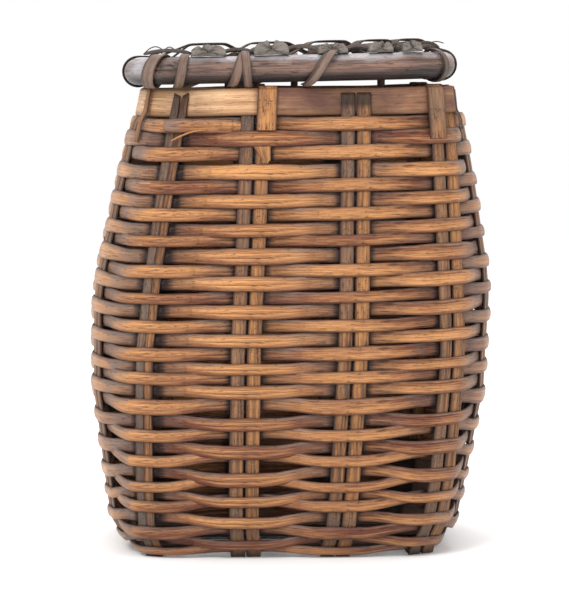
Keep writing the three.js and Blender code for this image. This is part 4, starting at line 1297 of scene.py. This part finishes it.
rib_edges = []
for share, width in zip(RIB_PLACE_SHARES, RIB_WIDTHS):
    rib_edges.append((share * LID_HALF_WIDTH - width * MM / 2, share * LID_HALF_WIDTH + width * MM / 2))
second_turn = (rib_edges[0][1] + rib_edges[1][0]) / 2 + LASH_FROM_MIDDLE
lash_tops = (rib_edges[0][0] - LASH_FROM_RIB, second_turn, LAST_LASH_TOP)
lash_places, lash_angles = [], []
down = np.linspace(0, 1, LASH_TURN_STATIONS)
for turn, (top, slant) in enumerate(zip(lash_tops, LASH_SLANTS)):
    lash_places += list(top - slant * down)
    lash_angles += list(QUARTER - math.pi * down)
    if turn < len(lash_tops) - 1:
        foot = top - slant
        lash_places += list(foot + (lash_tops[turn + 1] - foot) * down[1:-1])
        lash_angles += list(-QUARTER - math.pi * down[1:-1])
lash = wound_cane(
    "lid_front_lashing", lash_places, lash_angles, LASH_CLEARANCE, LASH_WIDTH, 0.5, 0.35, (0.9, 0.8)
)
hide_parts("lid_front_lashing")

fan = np.linspace(0, 1, LASH_STATIONS)
straight = LID_HALF_WIDTH - LID_CORNER_RADIUS
wound_cane(
    "lashing_right_strand", second_turn + (3 * fan - 1) * MM, (1.15 - 2.3 * fan) * QUARTER, 1.8, 7,
    0.55, 0.3, (0.5, 0.6),
)
wound_cane(
    "lashing_loose_end", (40.5 - 30 * fan) * MM, (1.08 - 1.95 * fan) * QUARTER,
    2.0 + 1.2 * np.sin(fan * math.pi), 6.5, 0.66, 0.5, (0.06, 0.7),
)
wound_cane(
    "left_corner_binding", -straight - (6 + 15 * fan) * MM, (1.7 - 3.4 * fan) * QUARTER, 0.7, 11, 0.58, 0.45
)
wound_cane(
    "right_corner_binding", straight + (20 + 5 * fan) * MM, (1.9 - 3.6 * fan) * QUARTER, 0.7, 6, 0.36, 0.35
)

# Curls and tangle. Thin fibres torn from the lid's strips stand up a little above the ribs, and dark
# broken strands of cane fill the spaces between the ribs just behind the front rod.
CURL_WIDTH = 1.6 * MM
CURL_THICKNESS = 0.7 * MM
CURL_BASE = 14
CURL_STATIONS = 16
# Each curl: x, y, length, rise and sideways swing, in millimetres on the lid.
CURLS = ((-119, -60, 15, 6, 2), (-104, -75, 10, 5.4, 1), (42, -64, 12, 4.6, -2), (108, -70, 18, 5.2, 2))
STRAND_THICKNESS = 1.0 * MM
STRAND_BASE = 12.4
STRAND_LAYER = 1.6
STRAND_FRONT = -76
STRAND_DEPTH = 16
STRAND_STATIONS = 14
STRAND_RISES = (2.2, 5.0)
STRAND_WIDTHS = (2.2, 3.6)
STRAND_OVERHANG = 3
STRAND_SLANT = 6
# Where each strand starts and stops, in millimetres from the lid's middle.
STRANDS = (
    (-115, -82), (-112, -80), (-54, -31), (-56, -28), (-4, 24), (0, 22), (44, 64), (46, 62), (80, 92),
    (104, 119), (100, 117),
)

run = np.linspace(0, 1, CURL_STATIONS)
for number, (x, y, length, rise, swing) in enumerate(CURLS, 1):
    z = CURL_BASE + rise * np.sin(2.4 * run)
    bow = np.stack([x + length * run, y + swing * np.sin(3 * run), z], axis=1)
    cane_on_lid(
        f"lid_curl_{number}", bow * MM, (0, 1, 0.3), CURL_WIDTH, CURL_THICKNESS,
        {"tone": 0.4, "age": 0.4, "shade": 0.1}, (0.6, 0.2),
    )
dice = np.random.default_rng(411)
run = np.linspace(0, 1, STRAND_STATIONS)
for number, (start, stop) in enumerate(STRANDS, 1):
    rise, y = dice.uniform(*STRAND_RISES), STRAND_FRONT - STRAND_DEPTH * dice.random()
    x = start - STRAND_OVERHANG * dice.random() + (stop - start + 2 * STRAND_OVERHANG * dice.random()) * run
    z = STRAND_BASE + STRAND_LAYER * (number % 2) + rise * np.sin(math.pi * run) ** 0.8
    bow = np.stack([x, y + STRAND_SLANT * (number % 3 - 1) * run, z], axis=1)
    cane_on_lid(
        f"lid_strand_{number:02d}", bow * MM, (0, 0.5, 1), dice.uniform(*STRAND_WIDTHS) * MM,
        STRAND_THICKNESS,
        {"tone": dice.uniform(0.2, 0.5), "age": dice.uniform(0.2, 0.7), "shade": dice.uniform(0.1, 0.5)},
        (0.5, 0.5),
    )

# Hinge. Three loops of cane go over the rear rod and through the gap under the rim band. They tie
# the lid to the basket and leave the rod free to turn.
LOOP_WIDTH = 5.5 * MM
LOOP_CLEARANCE = 0.4 * MM
LOOP_SLACK = 0.3 * MM
LOOP_RADIUS = LID_ROD_RADIUS + LOOP_CLEARANCE + STRIP_THICKNESS / 2 + LOOP_SLACK
LOOP_SINK_SHARE = 0.6
LOOP_SOFTNESS = 0.7 * MM
LOOP_STEP = 2 * MM
LOOP_BEND_POINTS = 13
LOOP_RIB_ROOM = 1.3 * MM
LOOP_HALF_FOOT = BAND_OFFSET + RIM_BAND_THICKNESS / 2 + LOOP_CLEARANCE + STRIP_THICKNESS / 2
LOOP_PLACES = (
    rib_edges[0][1] + LOOP_RIB_ROOM + LOOP_WIDTH / 2,
    (rib_edges[1][1] + rib_edges[2][0]) / 2,
    (rib_edges[3][1] + rib_edges[4][0]) / 2,
)

for number, place in enumerate(LOOP_PLACES, 1):
    name = f"hinge_loop_{number}"
    x = LID_SHIFT + place
    gap = BAND_BOTTOM - RIM_BAND_GAP * LOOP_SINK_SHARE
    share = gap / WALL_HEIGHT
    on_wall = x - (LEAN_AT_BASE + (LEAN_AT_RIM - LEAN_AT_BASE) * share)
    low = gap + RIM_RISE_TO_RIGHT * on_wall * share / (2 * BELLY_HALF_WIDTH)
    half_width, half_depth, exponent, _ = wall_at(BAND_BOTTOM)
    wall_y = half_depth * (1 - abs(on_wall / half_width) ** exponent) ** (1 / exponent)
    rod_height = LID_HEIGHT + place * math.tan(LID_TILT)
    points = [(x, wall_y, low), (x, wall_y + LOOP_HALF_FOOT, low)]
    for angle in np.linspace(0, math.pi, LOOP_BEND_POINTS):
        y, z = LID_HALF_DEPTH + LOOP_RADIUS * math.cos(angle), rod_height + LOOP_RADIUS * math.sin(angle)
        points.append((x, y, z))
    points += [(x, wall_y - LOOP_HALF_FOOT, low), (x, wall_y, low)]
    line = ease_line(points, LOOP_SOFTNESS, LOOP_STEP)
    tone = 0.5 + 0.1 * smooth_wander(len(line), 6, 170 + number)
    loop_tones = {"tone": tone, "age": 0.35, "shade": 0.1}
    loop = strip_mesh(name, line, (1, 0, 0), LOOP_WIDTH, STRIP_THICKNESS, loop_tones)
    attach(loop, "basket")
    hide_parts(name)
